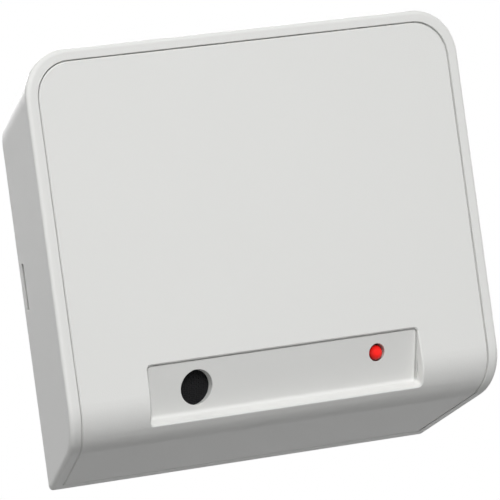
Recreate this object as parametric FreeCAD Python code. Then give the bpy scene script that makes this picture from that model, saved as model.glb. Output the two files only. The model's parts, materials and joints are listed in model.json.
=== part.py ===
"""Wall-mounted glass break sensor: a tapered base tray, a curved snap-in front cover and its electronics.

X runs to the right, Y from the room into the wall, and Z up. The origin is the middle of the wall face,
between the two screw slots, so the whole sensor lies at negative Y. All sizes are in millimetres.
"""
import FreeCAD, Part
import os
from math import atan, cos, pi, sin, tan

V = FreeCAD.Vector
ACROSS = V(1, 0, 0)
INWARD = V(0, 1, 0)

# Housing
FRONT_W = 90.0
BODY_H = 80.5
DEPTH = 25.5
SIDE_TAPER = 5.1
TOP_TAPER = 6.9
CHIN_RISE = 8.65
CHIN_R = 9.5
CORNER_R = 8.8
RIM_W = 2.3
RIM_EDGE_R = 0.8
BACK_T = 2.0
COVER_T = 2.0
COVER_CORNER_R = 7.0
COVER_EDGE = 0.3
SEAM = 0.15

# Recess in the cover, with the sound hole and the lamp hole
RECESS_W = 56.4
RECESS_H = 10.62
RECESS_TOP = 20.8
RECESS_TILT = 20.2
RECESS_DEPTH = 0.5
RECESS_WALL = 1.6
RECESS_EDGE_R = 0.8
RECESS_SIDE_DRAFT = 0.05
RECESS_SILL_DRAFT = 0.16
RECESS_EDGE = 0.25
GROOVE_W = 0.2
GROOVE_D = 0.12
SOUND_HOLE_D = 6.5
SOUND_HOLE_X = -17.8
SOUND_HOLE_Z = 15.7
LAMP_HOLE_D = 3.3
LAMP_HOLE_X = 19.9
LAMP_HOLE_Z = 17.3

# How the cover is held in the tray
FLANGE_T = 1.5
FLANGE_DEPTH = 6.5
LATCH_Z = 38.3
LATCH_W = 9.0
LATCH_WINDOW_L = 8.6
LATCH_WINDOW_W = 1.6
LATCH_WINDOW_GAP = 0.3
LATCH_FIT = 0.3
BARB_L = 4.0
BARB_SINK = 0.6
HOOK_X = 20.0
HOOK_W = 10.0
HOOK_T = 1.4
HOOK_REACH = 1.3
HOOK_DROP = 4.5
HOOK_FIT = 0.2

# Wall fixing and cable entry in the base tray
WALL_SLOT_EDGE = 9.9
WALL_SLOT_L = 8.0
WALL_SLOT_W = 4.2
SCREW_HEAD_ROOM = 8.0
CABLE_ENTRY_W = 18.0
CABLE_ENTRY_H = 9.0
CABLE_ENTRY_R = 2.0

# Circuit board and what carries it
STANDOFF_H = 4.0
STANDOFF_R = 3.0
POST_INSET = 3.6
BOARD_T = 1.6
BOARD_SIDE_CLEAR = 4.0
BOARD_LOW_CLEAR = 1.3
WIRING_ROOM = 14.0
BOARD_CORNER_R = 1.5
SCREW_HOLE_R = 1.55
SCREW_R = 1.3
SCREW_FIT = 0.03
SCREW_L = 5.1
SCREW_HEAD_R = 2.75
SCREW_HEAD_T = 1.9
SCREW_CROSS_L = 3.0
SCREW_CROSS_W = 0.7
SCREW_CROSS_D = 1.0
PIN_W = 0.6
PIN_HOLE_FIT = 0.1
PIN_TAIL = 1.5
PIN_ROOT = 1.0
LEAD_PITCH = 2.54

# Microphone
CAPSULE_R = 4.85
CAPSULE_L = 5.2
CAPSULE_PORT_R = 1.0
CAPSULE_PORT_D = 0.5
BOOT_WALL = 1.4
BOOT_FIT = 0.05
GAUZE_T = 0.5
GAUZE_FIT = 0.05

# Lamp
LAMP_R = 1.5
LAMP_BODY_L = 3.4
LAMP_TIP_PROUD = 0.9
LAMP_FLANGE_R = 1.9
LAMP_FLANGE_T = 1.0
LAMP_SPACER_R = 2.2

# Terminal block
TERMINAL_COUNT = 6
TERMINAL_PITCH = 5.0
TERMINAL_D = 9.0
TERMINAL_TALL = 10.5
TERMINAL_STEP_T = 2.5
TERMINAL_STEP_D = 1.25
TERMINAL_BACK_T = 1.0
TERMINAL_PORT_W = 4.0
TERMINAL_PORT_H = 3.8
TERMINAL_PORT_DEPTH = 4.5
TERMINAL_SCREW_R = 1.45
TERMINAL_SCREW_L = 4.2
TERMINAL_SLOT_W = 0.6
TERMINAL_SLOT_D = 0.9
CLAMP_T = 0.5
CLAMP_FIT = 0.1

# Relay, chips and other parts on the board
RELAY_W, RELAY_L, RELAY_TALL = 10.0, 15.0, 10.0
RELAY_EDGE = 0.4
RELAY_PIN_INSET = 1.3
CHIP_LIFT = 0.15
CHIP_EDGE = 0.3
CHIP_PITCH = 1.27
CHIP_LEAD_W = 0.42
CHIP_LEAD_T = 0.2
CHIP_LEAD_KNEE = 0.6
CHIP_LEAD_REACH = 1.5
PROCESSOR_W, PROCESSOR_H, PROCESSOR_T = 10.3, 7.5, 2.3
PROCESSOR_PAIR_COUNT = 8
AMPLIFIER_W, AMPLIFIER_H, AMPLIFIER_T = 4.9, 3.9, 1.5
AMPLIFIER_PAIR_COUNT = 4
CAPACITOR_R, CAPACITOR_TALL = 3.6, 9.0
CAPACITOR_LEAD_STEP = 1.6
CRYSTAL_W, CRYSTAL_H, CRYSTAL_TALL = 11.0, 4.6, 3.4
CRYSTAL_FLANGE_W, CRYSTAL_FLANGE_T = 0.5, 0.4
CRYSTAL_LEAD_STEP = 2.44
SMALL_PART_W, SMALL_PART_H, SMALL_PART_T = 1.25, 2.0, 0.6
SMALL_PART_STEP = 2.6

# Sensitivity trimmer
TRIMMER_W = 6.8
TRIMMER_TALL = 4.0
TRIMMER_PIN_STEP = 2.5
ROTOR_R = 2.3
ROTOR_T = 1.6
ROTOR_FIT = 0.1
ROTOR_PROUD = 0.4
ROTOR_CROSS_L = 3.3
ROTOR_SLOT_W = 0.7
ROTOR_SLOT_D = 0.8
ROTOR_NOTCH_D = 0.4

# Mode switch with its sliders
SWITCH_W = 9.8
SWITCH_TALL = 4.2
SWITCH_END = 0.5
SWITCH_PITCH = 2.54
SWITCH_PIN_STEP = 3.81
SLIDER_COUNT = 4
SLIDER_W = 1.3
SLIDER_L = 1.6
SLIDER_TRAVEL = 1.8
SLIDER_SUNK = 1.0
SLIDER_PROUD = 0.8
SLIDER_FIT = 0.1

# Tamper switch that the cover's post presses
TAMPER_W = 6.0
TAMPER_TALL = 3.6
TAMPER_PIN_STEP = 2.25
PLUNGER_R = 1.6
PLUNGER_L = 4.0
PLUNGER_SUNK = 1.2
PLUNGER_OVERTRAVEL = 0.5
PLUNGER_FIT = 0.1
TAMPER_POST_R = 2.2
TAMPER_POST_GAP = 0.1

# Jumper on its header
HEADER_PITCH = 2.54
HEADER_PIN_COUNT = 3
HEADER_BASE_T = 2.5
HEADER_PIN_L = 8.5
JUMPER_T = 6.0
JUMPER_FIT = 0.05
JUMPER_LIFT = 0.1

# Places on the board, from -1 to 1 across it and from 0 to 1 up it
RELAY_AT = (-0.5, 0.58)
PROCESSOR_AT = (0.08, 0.64)
AMPLIFIER_AT = (-0.1, 0.42)
CRYSTAL_AT = (0.2, 0.42)
CAPACITOR_AT = (0.52, 0.61)
TRIMMER_AT = (0.33, 0.245)
SWITCH_AT = (-0.05, 0.17)
TAMPER_AT = (0.72, 0.8)
JUMPER_AT = (0.83, 0.36)
SMALL_PART_ROWS = ((-0.85, 0.34), (-0.83, 0.82), (0.46, 0.42), (0.4, 0.07))
SMALL_PART_COUNTS = (2, 3, 3, 3)

LOW = -(BODY_H - TOP_TAPER) / 2
SLOPE = atan(CHIN_RISE / DEPTH)
TILT = RECESS_TILT * pi / 180
INSET = RIM_W + SEAM
BOARD_BACK = -(BACK_T + STANDOFF_H)
BOARD_FRONT = BOARD_BACK - BOARD_T
COVER_INNER = -DEPTH + COVER_T

# How far drawn shapes run on beyond the housing, and cutters past the faces that they cut
BEYOND = 20.0
PAST = 1.0


def box(x0, x1, y0, y1, z0, z1):
    """A block between two corners."""
    return Part.makeBox(x1 - x0, y1 - y0, z1 - z0, V(x0, y0, z0))


def rod(x, z, y0, y1, radius):
    """A round bar along Y."""
    return Part.makeCylinder(radius, y1 - y0, V(x, y0, z), INWARD)


def fused(shapes):
    """One solid made of several that meet."""
    first, *rest = shapes
    return first.multiFuse(rest).removeSplitter()


def along_depth(edge):
    """Whether an edge runs mainly from front to back."""
    bounds = edge.BoundBox
    return bounds.YLength > max(bounds.XLength, bounds.ZLength)


def front_rims(shape):
    """The edges round the front end of a piece that stands on the board."""
    front = shape.BoundBox.YMin + 0.01
    return [edge for edge in shape.Edges if edge.BoundBox.YMax < front]


def half_width(y):
    """Half the width of the housing at a depth."""
    return FRONT_W / 2 - SIDE_TAPER * (y + DEPTH) / DEPTH


def top_z(y):
    """Height of the housing's top wall at a depth."""
    return LOW + BODY_H - TOP_TAPER * (y + DEPTH) / DEPTH


def corner_radius(inset):
    """Radius of the upper corners of a surface inside the housing: the cover's corners have their own."""
    return CORNER_R - inset if inset < RIM_W else COVER_CORNER_R + INSET - inset


def sleeve(inset, y0, y1):
    """The tapered space inside the side and top walls, open downwards past the chin."""
    x0, x1 = half_width(y0) - inset, half_width(y1) - inset
    z0, z1 = top_z(y0) - inset, top_z(y1) - inset
    low = LOW - BEYOND
    wedge = Part.makeWedge(-x0, y0, low, low, -x1, x0, y1, z0, z1, x1)
    corners = [edge for edge in wedge.Edges if along_depth(edge) and edge.BoundBox.ZMin > low + PAST]
    return wedge.makeFillet(corner_radius(inset), corners)


def chin_centre():
    """Centre of the round chin, as (y, z)."""
    reach = DEPTH - CHIN_R
    return -reach, LOW + (CHIN_R + reach * sin(SLOPE)) / cos(SLOPE)


def chin_z(y, inset=0.0):
    """Height of the sloped underside, or of a surface inside it, at a depth."""
    return LOW - y * tan(SLOPE) + inset / cos(SLOPE)


def profile(inset, y1):
    """Everything behind the front, the round chin and the sloped underside, as far as y1."""
    cy, cz = chin_centre()
    r = CHIN_R - inset
    half_turn = (pi / 2 - SLOPE) / 2
    side = -FRONT_W
    start = V(side, cy - r, cz)
    middle = V(side, cy - r * cos(half_turn), cz - r * sin(half_turn))
    end = V(side, cy - r * sin(SLOPE), cz - r * cos(SLOPE))
    low_back = V(side, y1, chin_z(y1, inset))
    high_back = V(side, y1, LOW + BODY_H + BEYOND)
    high_front = V(side, start.y, high_back.z)
    edges = [
        Part.Arc(start, middle, end).toShape(),
        Part.makeLine(end, low_back),
        Part.makeLine(low_back, high_back),
        Part.makeLine(high_back, high_front),
        Part.makeLine(high_front, start),
    ]
    return Part.Face(Part.Wire(edges)).extrude(V(2 * FRONT_W, 0, 0))


def block(inset, y1):
    """The housing as one block, inset from its side and top walls, as far back as y1."""
    return sleeve(inset, -DEPTH, y1).common(profile(0.0, y1))


def rim_edges(solid):
    """The edges of a block where its walls meet the front, the chin and the underside."""
    rim = []
    for edge in solid.Edges:
        bounds = edge.BoundBox
        across = bounds.XLength > FRONT_W / 2 and bounds.ZMax < 0
        at_back = bounds.YLength < 0.01 and bounds.YMin > -DEPTH / 2
        on_corner = along_depth(edge) and bounds.ZMin > 0
        if not (across or at_back or on_corner):
            rim.append(edge)
    return rim


def board_low():
    """Height of the board's lower edge, above the inside of the cover's underside."""
    return chin_z(BOARD_FRONT, COVER_T) + BOARD_LOW_CLEAR


def board_high():
    """Height of the board's upper edge, below the room for the wiring."""
    return top_z(-BACK_T) - RIM_W - WIRING_ROOM


def board_half():
    """Half the width of the board, between the flanges of the cover."""
    return half_width(BOARD_BACK) - INSET - FLANGE_T - BOARD_SIDE_CLEAR


def on_board(place):
    """A place on the board as (x, z)."""
    return place[0] * board_half(), board_low() + place[1] * (board_high() - board_low())


def standing(place, w, h, tall, lift=0.0):
    """A block that stands on the front of the board."""
    x, z = on_board(place)
    y1 = BOARD_FRONT - lift
    return box(x - w / 2, x + w / 2, y1 - tall, y1, z - h / 2, z + h / 2)


def board_posts():
    """Places of the board's four posts: the first pair takes screws and the board only rests on the other."""
    x = board_half() - POST_INSET
    low, high = board_low() + POST_INSET, board_high() - POST_INSET
    return [(-x, low), (x, high)], [(x, low), (-x, high)]


def square_pin(x, z, y0, y1, fit=0.0):
    """A square pin along Y, or with a fit its hole."""
    half = PIN_W / 2 + fit
    return box(x - half, x + half, y0, y1, z - half, z + half)


def pins_from(places, y0):
    """Pins from a depth through the board to their tails."""
    return [square_pin(x, z, y0, BOARD_BACK + PIN_TAIL) for x, z in places]


def pair(x, z, step):
    """Two places side by side."""
    return [(x - step, z), (x + step, z)]


def slot_x():
    """How far the wall slots lie from the middle."""
    return half_width(0) - WALL_SLOT_EDGE


def slot(x, z, y0, y1):
    """A round-ended wall slot that runs across."""
    r, run = WALL_SLOT_W / 2, (WALL_SLOT_L - WALL_SLOT_W) / 2
    middle = box(x - run, x + run, y0, y1, z - r, z + r)
    return fused([middle, rod(x - run, z, y0, y1, r), rod(x + run, z, y0, y1, r)])


def latch_bars(inner, outer, length, width):
    """The left and right bars that follow the side walls at the latch, between two insets."""
    y = -BACK_T - LATCH_WINDOW_GAP - LATCH_WINDOW_W / 2
    z = LOW + LATCH_Z
    zone = box(-FRONT_W, FRONT_W, y - width / 2, y + width / 2, z - length / 2, z + length / 2)
    return sleeve(outer, -DEPTH, 0).cut(sleeve(inner, -DEPTH - PAST, PAST)).common(zone)


def hook_bar(x, fit):
    """One hook of the cover's top edge, or with a fit its pocket in the tray's top wall."""
    y = COVER_INNER + HOOK_DROP
    half = HOOK_W / 2 + fit
    zone = box(x - half, x + half, y - fit, y + HOOK_T + fit, 0, LOW + BODY_H)
    return sleeve(INSET - HOOK_REACH - fit, -DEPTH, 0).cut(sleeve(INSET, -DEPTH - PAST, PAST)).common(zone)


def cable_entry():
    """The cable opening in the back plate, in the middle of the wiring room."""
    z = board_high() + WIRING_ROOM / 2
    half_w, half_h = CABLE_ENTRY_W / 2, CABLE_ENTRY_H / 2
    opening = box(-half_w, half_w, -BACK_T - PAST, PAST, z - half_h, z + half_h)
    return opening.makeFillet(CABLE_ENTRY_R, [edge for edge in opening.Edges if along_depth(edge)])


def make_wall_base():
    """The tray: back plate, side and top walls with their rim, posts, slots and cable entry."""
    housing = block(0.0, 0.0)
    tray = housing.makeFillet(RIM_EDGE_R, rim_edges(housing)).cut(sleeve(RIM_W, -DEPTH - PAST, -BACK_T))
    screwed, resting = board_posts()
    tray = fused([tray] + [rod(x, z, BOARD_BACK, -BACK_T, STANDOFF_R) for x, z in screwed + resting])
    cuts = [rod(x, z, BOARD_BACK - PAST, -BACK_T / 2, SCREW_R + SCREW_FIT) for x, z in screwed]
    for side in (-1, 1):
        cuts.append(slot(side * slot_x(), 0, -BACK_T - PAST, PAST))
        cuts.append(hook_bar(side * HOOK_X, HOOK_FIT))
    cuts.append(latch_bars(RIM_W + PAST, -PAST, LATCH_WINDOW_L, LATCH_WINDOW_W))
    cuts.append(cable_entry())
    return tray.cut(Part.makeCompound(cuts))


def tilted(shape):
    """A shape drawn in the recess's own frame, put in its place on the cover."""
    placed = shape.copy()
    turn = FreeCAD.Rotation(ACROSS, RECESS_TILT)
    placed.Placement = FreeCAD.Placement(V(0, -DEPTH, LOW + RECESS_TOP), turn)
    return placed


def recess_floor_y(z, behind=0.0):
    """Depth of the recess's tilted floor, or of a plane behind it, at a height."""
    return -DEPTH + (RECESS_DEPTH + behind + (LOW + RECESS_TOP - z) * sin(TILT)) / cos(TILT)


def behind_recess(distance):
    """Everything further back than a plane at a distance behind the recess's floor."""
    deep = RECESS_DEPTH + distance
    return tilted(box(-FRONT_W, FRONT_W, deep, deep + DEPTH, -BODY_H, BODY_H))


def recess_wedge(depth, extra_top=0.0):
    """A hollow of the recess down to a depth: a level top, drafted sides and a drafted sill."""
    out = BEYOND / 2
    rise = out + depth
    half, mouth = RECESS_W / 2, RECESS_W / 2 + rise * RECESS_SIDE_DRAFT
    foot = (depth - RECESS_DEPTH) * RECESS_SILL_DRAFT - RECESS_H
    sill = foot - rise * RECESS_SILL_DRAFT
    top, mouth_top = extra_top - depth * tan(TILT), extra_top + out * tan(TILT)
    return Part.makeWedge(-mouth, -out, sill, foot, -half, mouth, depth, mouth_top, top, half)


def recess_panel():
    """The recess's floor: a plate dished up at its sides and into its sill, with a groove at its top and sides."""
    dish = recess_wedge(RECESS_DEPTH, BEYOND)
    at_floor = [edge for edge in dish.Edges if edge.BoundBox.YMax > RECESS_DEPTH - 0.01]
    dish = dish.makeFillet(RECESS_EDGE_R, [edge for edge in at_floor if edge.BoundBox.ZMin < 0])
    half = RECESS_W / 2 - GROOVE_W
    low, high = -RECESS_H - RECESS_WALL, -RECESS_DEPTH * tan(TILT) - GROOVE_W
    plate = box(-half, half, RECESS_DEPTH - RECESS_EDGE_R, RECESS_DEPTH + RECESS_WALL, low, high)
    corners = [edge for edge in plate.Edges if along_depth(edge)]
    return plate.makeFillet(RECESS_EDGE_R - GROOVE_W, corners).cut(dish)


def recess_cutter():
    """The hollow of the recess with the groove at the top and sides of its floor."""
    hollow = recess_wedge(RECESS_DEPTH + GROOVE_D)
    corners = [edge for edge in hollow.Edges if along_depth(edge)]
    return tilted(hollow.makeFillet(RECESS_EDGE_R, corners).cut(recess_panel()))


def recess_tub():
    """The wall behind the recess, before the hollow is cut."""
    half = RECESS_W / 2 + RECESS_WALL
    return tilted(box(-half, half, 0, RECESS_DEPTH + RECESS_WALL, -RECESS_H - RECESS_WALL, RECESS_WALL))


def mouth_edges(cover):
    """The edges round the mouth of the recess, which lie on the cover's outer skin."""
    under_skin = profile(RECESS_EDGE / 10, 0.0)
    mouth = []
    for edge in cover.Edges:
        bounds = edge.BoundBox
        middle = edge.valueAt((edge.FirstParameter + edge.LastParameter) / 2)
        points = [vertex.Point for vertex in edge.Vertexes] + [middle]
        near = max(-bounds.XMin, bounds.XMax) < RECESS_W / 2 + RECESS_WALL
        low = bounds.ZMax < LOW + RECESS_TOP + RECESS_EDGE and bounds.YMax < -DEPTH / 2
        if near and low and not any(under_skin.isInside(point, 0.001, True) for point in points):
            mouth.append(edge)
    return mouth


def make_front_cover():
    """The curved cover: front, round chin and underside in one sheet, with flanges, latches and recess."""
    y1 = -BACK_T - SEAM
    shell = block(INSET, y1)
    shell = shell.makeChamfer(COVER_EDGE, rim_edges(shell))
    z = LOW + LATCH_Z
    fingers = box(-FRONT_W, FRONT_W, -DEPTH, y1, z - LATCH_W / 2, z + LATCH_W / 2)
    behind_flange = box(-FRONT_W, FRONT_W, COVER_INNER + FLANGE_DEPTH, y1 + PAST, LOW - PAST, LOW + BODY_H)
    inside_flange = sleeve(INSET + FLANGE_T, -DEPTH - PAST, y1 + PAST)
    hollow = fused([inside_flange, behind_flange.cut(fingers)])
    cover = shell.cut(profile(COVER_T, y1 + PAST).common(hollow))
    post_x, post_z = on_board(TAMPER_AT)
    post = rod(post_x, post_z, COVER_INNER - COVER_T / 2, plunger_tip() - TAMPER_POST_GAP, TAMPER_POST_R)
    hooks = [hook_bar(side * HOOK_X, 0.0) for side in (-1, 1)]
    barbs = latch_bars(INSET + FLANGE_T / 2, BARB_SINK, BARB_L, LATCH_WINDOW_W - 2 * LATCH_FIT)
    cover = fused([cover, recess_tub().common(shell), post] + hooks + barbs.Solids)
    sound = rod(SOUND_HOLE_X, mic_z(), -DEPTH - PAST, BOARD_FRONT, SOUND_HOLE_D / 2)
    lamp = rod(LAMP_HOLE_X, lamp_z(), -DEPTH - PAST, BOARD_FRONT, LAMP_HOLE_D / 2)
    cover = cover.cut(Part.makeCompound([recess_cutter(), sound, lamp]))
    return cover.makeChamfer(RECESS_EDGE, mouth_edges(cover))


def mic_z():
    """Height of the microphone's axis."""
    return LOW + SOUND_HOLE_Z


def capsule_front():
    """Depth of the capsule's front, straight behind the tilted gauze."""
    low_rim = mic_z() - CAPSULE_R - BOOT_FIT
    return recess_floor_y(low_rim, RECESS_WALL + GAUZE_T + GAUZE_FIT)


def mic_leads():
    """Places of the microphone's two leads."""
    return pair(SOUND_HOLE_X, mic_z(), LEAD_PITCH / 2)


def make_acoustic_gauze():
    """The black disc behind the sound hole, laid flat against the recess wall."""
    disc = rod(SOUND_HOLE_X, mic_z(), -DEPTH, BOARD_FRONT, CAPSULE_R)
    return disc.common(behind_recess(RECESS_WALL)).cut(behind_recess(RECESS_WALL + GAUZE_T))


def make_microphone_boot():
    """The rubber sleeve that seals the microphone against the back of the recess."""
    r = CAPSULE_R + BOOT_FIT
    back = capsule_front() + CAPSULE_L
    outside = rod(SOUND_HOLE_X, mic_z(), COVER_INNER + BOOT_FIT, back, r + BOOT_WALL)
    hole = rod(SOUND_HOLE_X, mic_z(), -DEPTH, back + PAST, r)
    return outside.common(behind_recess(RECESS_WALL)).cut(hole)


def make_microphone_capsule():
    """The microphone's can with its port."""
    y0 = capsule_front()
    can = rod(SOUND_HOLE_X, mic_z(), y0, y0 + CAPSULE_L, CAPSULE_R)
    return can.cut(rod(SOUND_HOLE_X, mic_z(), y0 - PAST, y0 + CAPSULE_PORT_D, CAPSULE_PORT_R))


def make_microphone_leads():
    """The two leads from the capsule to the board."""
    return Part.makeCompound(pins_from(mic_leads(), capsule_front() + CAPSULE_L))


def lamp_z():
    """Height of the lamp's axis."""
    return LOW + LAMP_HOLE_Z


def lamp_tip():
    """Depth of the lamp's tip, which stands proud of the recess's floor."""
    return recess_floor_y(lamp_z()) - LAMP_TIP_PROUD


def lamp_back():
    """Depth of the back of the lamp's flange."""
    return lamp_tip() + LAMP_R + LAMP_BODY_L


def lamp_leads():
    """Places of the lamp's two leads."""
    return pair(LAMP_HOLE_X, lamp_z(), LEAD_PITCH / 2)


def make_status_lamp():
    """The red lamp: a domed body on a flange."""
    x, z = LAMP_HOLE_X, lamp_z()
    middle, back = lamp_tip() + LAMP_R, lamp_back()
    dome = Part.makeSphere(LAMP_R, V(x, middle, z))
    flange = rod(x, z, back - LAMP_FLANGE_T, back, LAMP_FLANGE_R)
    return fused([dome, rod(x, z, middle, back, LAMP_R), flange])


def make_lamp_leads():
    """The two leads from the lamp through its spacer to the board."""
    return Part.makeCompound(pins_from(lamp_leads(), lamp_back()))


def make_lamp_spacer():
    """The plastic tube that holds the lamp at its height above the board."""
    spacer = rod(LAMP_HOLE_X, lamp_z(), lamp_back(), BOARD_FRONT, LAMP_SPACER_R)
    holes = [square_pin(x, z, -DEPTH, 0, PIN_HOLE_FIT) for x, z in lamp_leads()]
    return spacer.cut(Part.makeCompound(holes))


def terminal_low():
    """Lower edge of the terminal block, whose upper edge is flush with the board's."""
    return board_high() - TERMINAL_D


def terminal_pins():
    """Places of the terminals' axes, which their screws and pins share."""
    z = terminal_low() + TERMINAL_D / 2
    first = -(TERMINAL_COUNT - 1) / 2
    return [((first + index) * TERMINAL_PITCH, z) for index in range(TERMINAL_COUNT)]


def port_front():
    """Depth at which the wire ports begin, under the screws."""
    return BOARD_FRONT - TERMINAL_TALL + TERMINAL_PORT_DEPTH


def make_terminal_block():
    """The terminal housing: screw wells in front, wire ports in its upper side and holes for its pins."""
    half = TERMINAL_COUNT * TERMINAL_PITCH / 2
    z0, z1 = terminal_low(), board_high()
    front, y0 = BOARD_FRONT - TERMINAL_TALL, port_front()
    well, port = TERMINAL_SCREW_R + CLAMP_FIT, TERMINAL_PORT_W / 2
    end = half + PAST
    cuts = [box(-end, end, front - PAST, front + TERMINAL_STEP_T, z0 - PAST, z0 + TERMINAL_STEP_D)]
    for x, z in terminal_pins():
        cuts.append(box(x - well, x + well, front - PAST, y0, z - well, z + well))
        cuts.append(box(x - port, x + port, y0, y0 + TERMINAL_PORT_H, z0 + TERMINAL_BACK_T, z1 + PAST))
        cuts.append(square_pin(x, z, y0, BOARD_FRONT + PAST, PIN_HOLE_FIT))
    return box(-half, half, front, BOARD_FRONT, z0, z1).cut(Part.makeCompound(cuts))


def make_terminal_screws():
    """The slotted clamp screws, down in their wells."""
    screws = []
    y1 = port_front() + CLAMP_FIT + 2 * CLAMP_T
    y0, half = y1 - TERMINAL_SCREW_L, TERMINAL_SLOT_W / 2
    for x, z in terminal_pins():
        groove = box(x - BEYOND, x + BEYOND, y0 - PAST, y0 + TERMINAL_SLOT_D, z - half, z + half)
        screws.append(rod(x, z, y0, y1, TERMINAL_SCREW_R).cut(groove))
    return Part.makeCompound(screws)


def make_terminal_clamps():
    """The metal cages in the wire ports, each with an opening for its screw and a pin through the board."""
    clamps = []
    y0, y1 = port_front() + CLAMP_FIT, port_front() + TERMINAL_PORT_H
    z0, z1 = terminal_low() + TERMINAL_BACK_T + CLAMP_FIT, board_high() - TERMINAL_BACK_T
    half = TERMINAL_PORT_W / 2 - CLAMP_FIT
    bore, grip = half - CLAMP_T, TERMINAL_SCREW_R + SCREW_FIT
    for x, z in terminal_pins():
        cage = box(x - half, x + half, y0, y1, z0, z1)
        room = box(x - bore, x + bore, y0 + CLAMP_T, y1 - CLAMP_T, z0 - PAST, z1 + PAST)
        opening = box(x - grip, x + grip, y0 - PAST, y0 + CLAMP_T + PAST, z - grip, z + grip)
        pin = square_pin(x, z, y1 - CLAMP_T, BOARD_BACK + PIN_TAIL)
        clamps.append(fused([cage.cut(fused([room, opening])), pin]))
    return Part.makeCompound(clamps)


def relay_pins():
    """Places of the relay's pins: its coil and contacts at the corners and its common in the middle."""
    x, z = on_board(RELAY_AT)
    across, along = RELAY_W / 2 - RELAY_PIN_INSET, RELAY_L / 2 - RELAY_PIN_INSET
    return pair(x, z - along, across) + [(x, z)] + pair(x, z + along, across)


def make_relay():
    """The relay's sealed case."""
    case = standing(RELAY_AT, RELAY_W, RELAY_L, RELAY_TALL)
    return case.makeChamfer(RELAY_EDGE, [edge for edge in case.Edges if along_depth(edge)] + front_rims(case))


def make_relay_pins():
    """The relay's pins through the board."""
    return Part.makeCompound(pins_from(relay_pins(), BOARD_FRONT))


def make_chip(place, w, h, thickness):
    """A moulded chip with chamfered front edges."""
    body = standing(place, w, h, thickness, CHIP_LIFT)
    return body.makeChamfer(CHIP_EDGE, front_rims(body))


def chip_leads(place, h, thickness, pairs):
    """Bent leads along the two long sides of a chip, down to the board."""
    leads = []
    middle_x, middle_z = on_board(place)
    root = BOARD_FRONT - CHIP_LIFT - thickness / 2
    for index in range(pairs):
        x = middle_x + (index - (pairs - 1) / 2) * CHIP_PITCH - CHIP_LEAD_W / 2
        for side in (-1, 1):
            outline = [
                (0, root),
                (CHIP_LEAD_KNEE, root),
                (CHIP_LEAD_REACH, BOARD_FRONT - CHIP_LEAD_T),
                (CHIP_LEAD_REACH, BOARD_FRONT),
                (CHIP_LEAD_KNEE, BOARD_FRONT),
                (0, root + CHIP_LEAD_T),
            ]
            corners = [V(x, y, middle_z + side * (h / 2 + out)) for out, y in outline + outline[:1]]
            leads.append(Part.Face(Part.makePolygon(corners)).extrude(V(CHIP_LEAD_W, 0, 0)))
    return leads


def make_chip_leads():
    """The leads of both chips."""
    processor = chip_leads(PROCESSOR_AT, PROCESSOR_H, PROCESSOR_T, PROCESSOR_PAIR_COUNT)
    amplifier = chip_leads(AMPLIFIER_AT, AMPLIFIER_H, AMPLIFIER_T, AMPLIFIER_PAIR_COUNT)
    return Part.makeCompound(processor + amplifier)


def capacitor_leads():
    """Places of the capacitor's leads."""
    x, z = on_board(CAPACITOR_AT)
    return pair(x, z, CAPACITOR_LEAD_STEP)


def make_capacitor():
    """The cylindrical capacitor's can."""
    return rod(*on_board(CAPACITOR_AT), BOARD_FRONT - CAPACITOR_TALL, BOARD_FRONT, CAPACITOR_R)


def make_capacitor_leads():
    """The capacitor's leads through the board."""
    return Part.makeCompound(pins_from(capacitor_leads(), BOARD_FRONT))


def crystal_leads():
    """Places of the crystal's leads."""
    x, z = on_board(CRYSTAL_AT)
    return pair(x, z, CRYSTAL_LEAD_STEP)


def make_crystal():
    """The timing crystal's flat round-ended can on its flange, with its leads."""
    w, h = CRYSTAL_W - 2 * CRYSTAL_FLANGE_W, CRYSTAL_H - 2 * CRYSTAL_FLANGE_W
    can = standing(CRYSTAL_AT, w, h, CRYSTAL_TALL)
    can = can.makeFillet(h * 0.45, [edge for edge in can.Edges if along_depth(edge)])
    flange = standing(CRYSTAL_AT, CRYSTAL_W, CRYSTAL_H, CRYSTAL_FLANGE_T)
    return fused([can, flange] + pins_from(crystal_leads(), BOARD_FRONT - CRYSTAL_FLANGE_T))


def make_small_parts():
    """Rows of small resistors and capacitors soldered flat on the board."""
    parts = []
    for place, count in zip(SMALL_PART_ROWS, SMALL_PART_COUNTS):
        for index in range(count):
            part = standing(place, SMALL_PART_W, SMALL_PART_H, SMALL_PART_T)
            part.translate(V(index * SMALL_PART_STEP, 0, 0))
            parts.append(part)
    return Part.makeCompound(parts)


def trimmer_pins():
    """Places of the trimmer's pins."""
    x, z = on_board(TRIMMER_AT)
    return pair(x, z - TRIMMER_PIN_STEP, TRIMMER_PIN_STEP) + [(x, z + TRIMMER_PIN_STEP)]


def rotor_base():
    """Depth of the back of the trimmer's rotor."""
    return BOARD_FRONT - TRIMMER_TALL + ROTOR_T - ROTOR_PROUD


def make_trimmer_body():
    """The trimmer's square body with a round cup for its rotor, and its pins."""
    x, z = on_board(TRIMMER_AT)
    body = standing(TRIMMER_AT, TRIMMER_W, TRIMMER_W, TRIMMER_TALL)
    cup = rod(x, z, BOARD_FRONT - TRIMMER_TALL - PAST, rotor_base() + ROTOR_FIT, ROTOR_R + ROTOR_FIT)
    return fused([body.cut(cup)] + pins_from(trimmer_pins(), BOARD_FRONT - PIN_ROOT))


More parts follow.
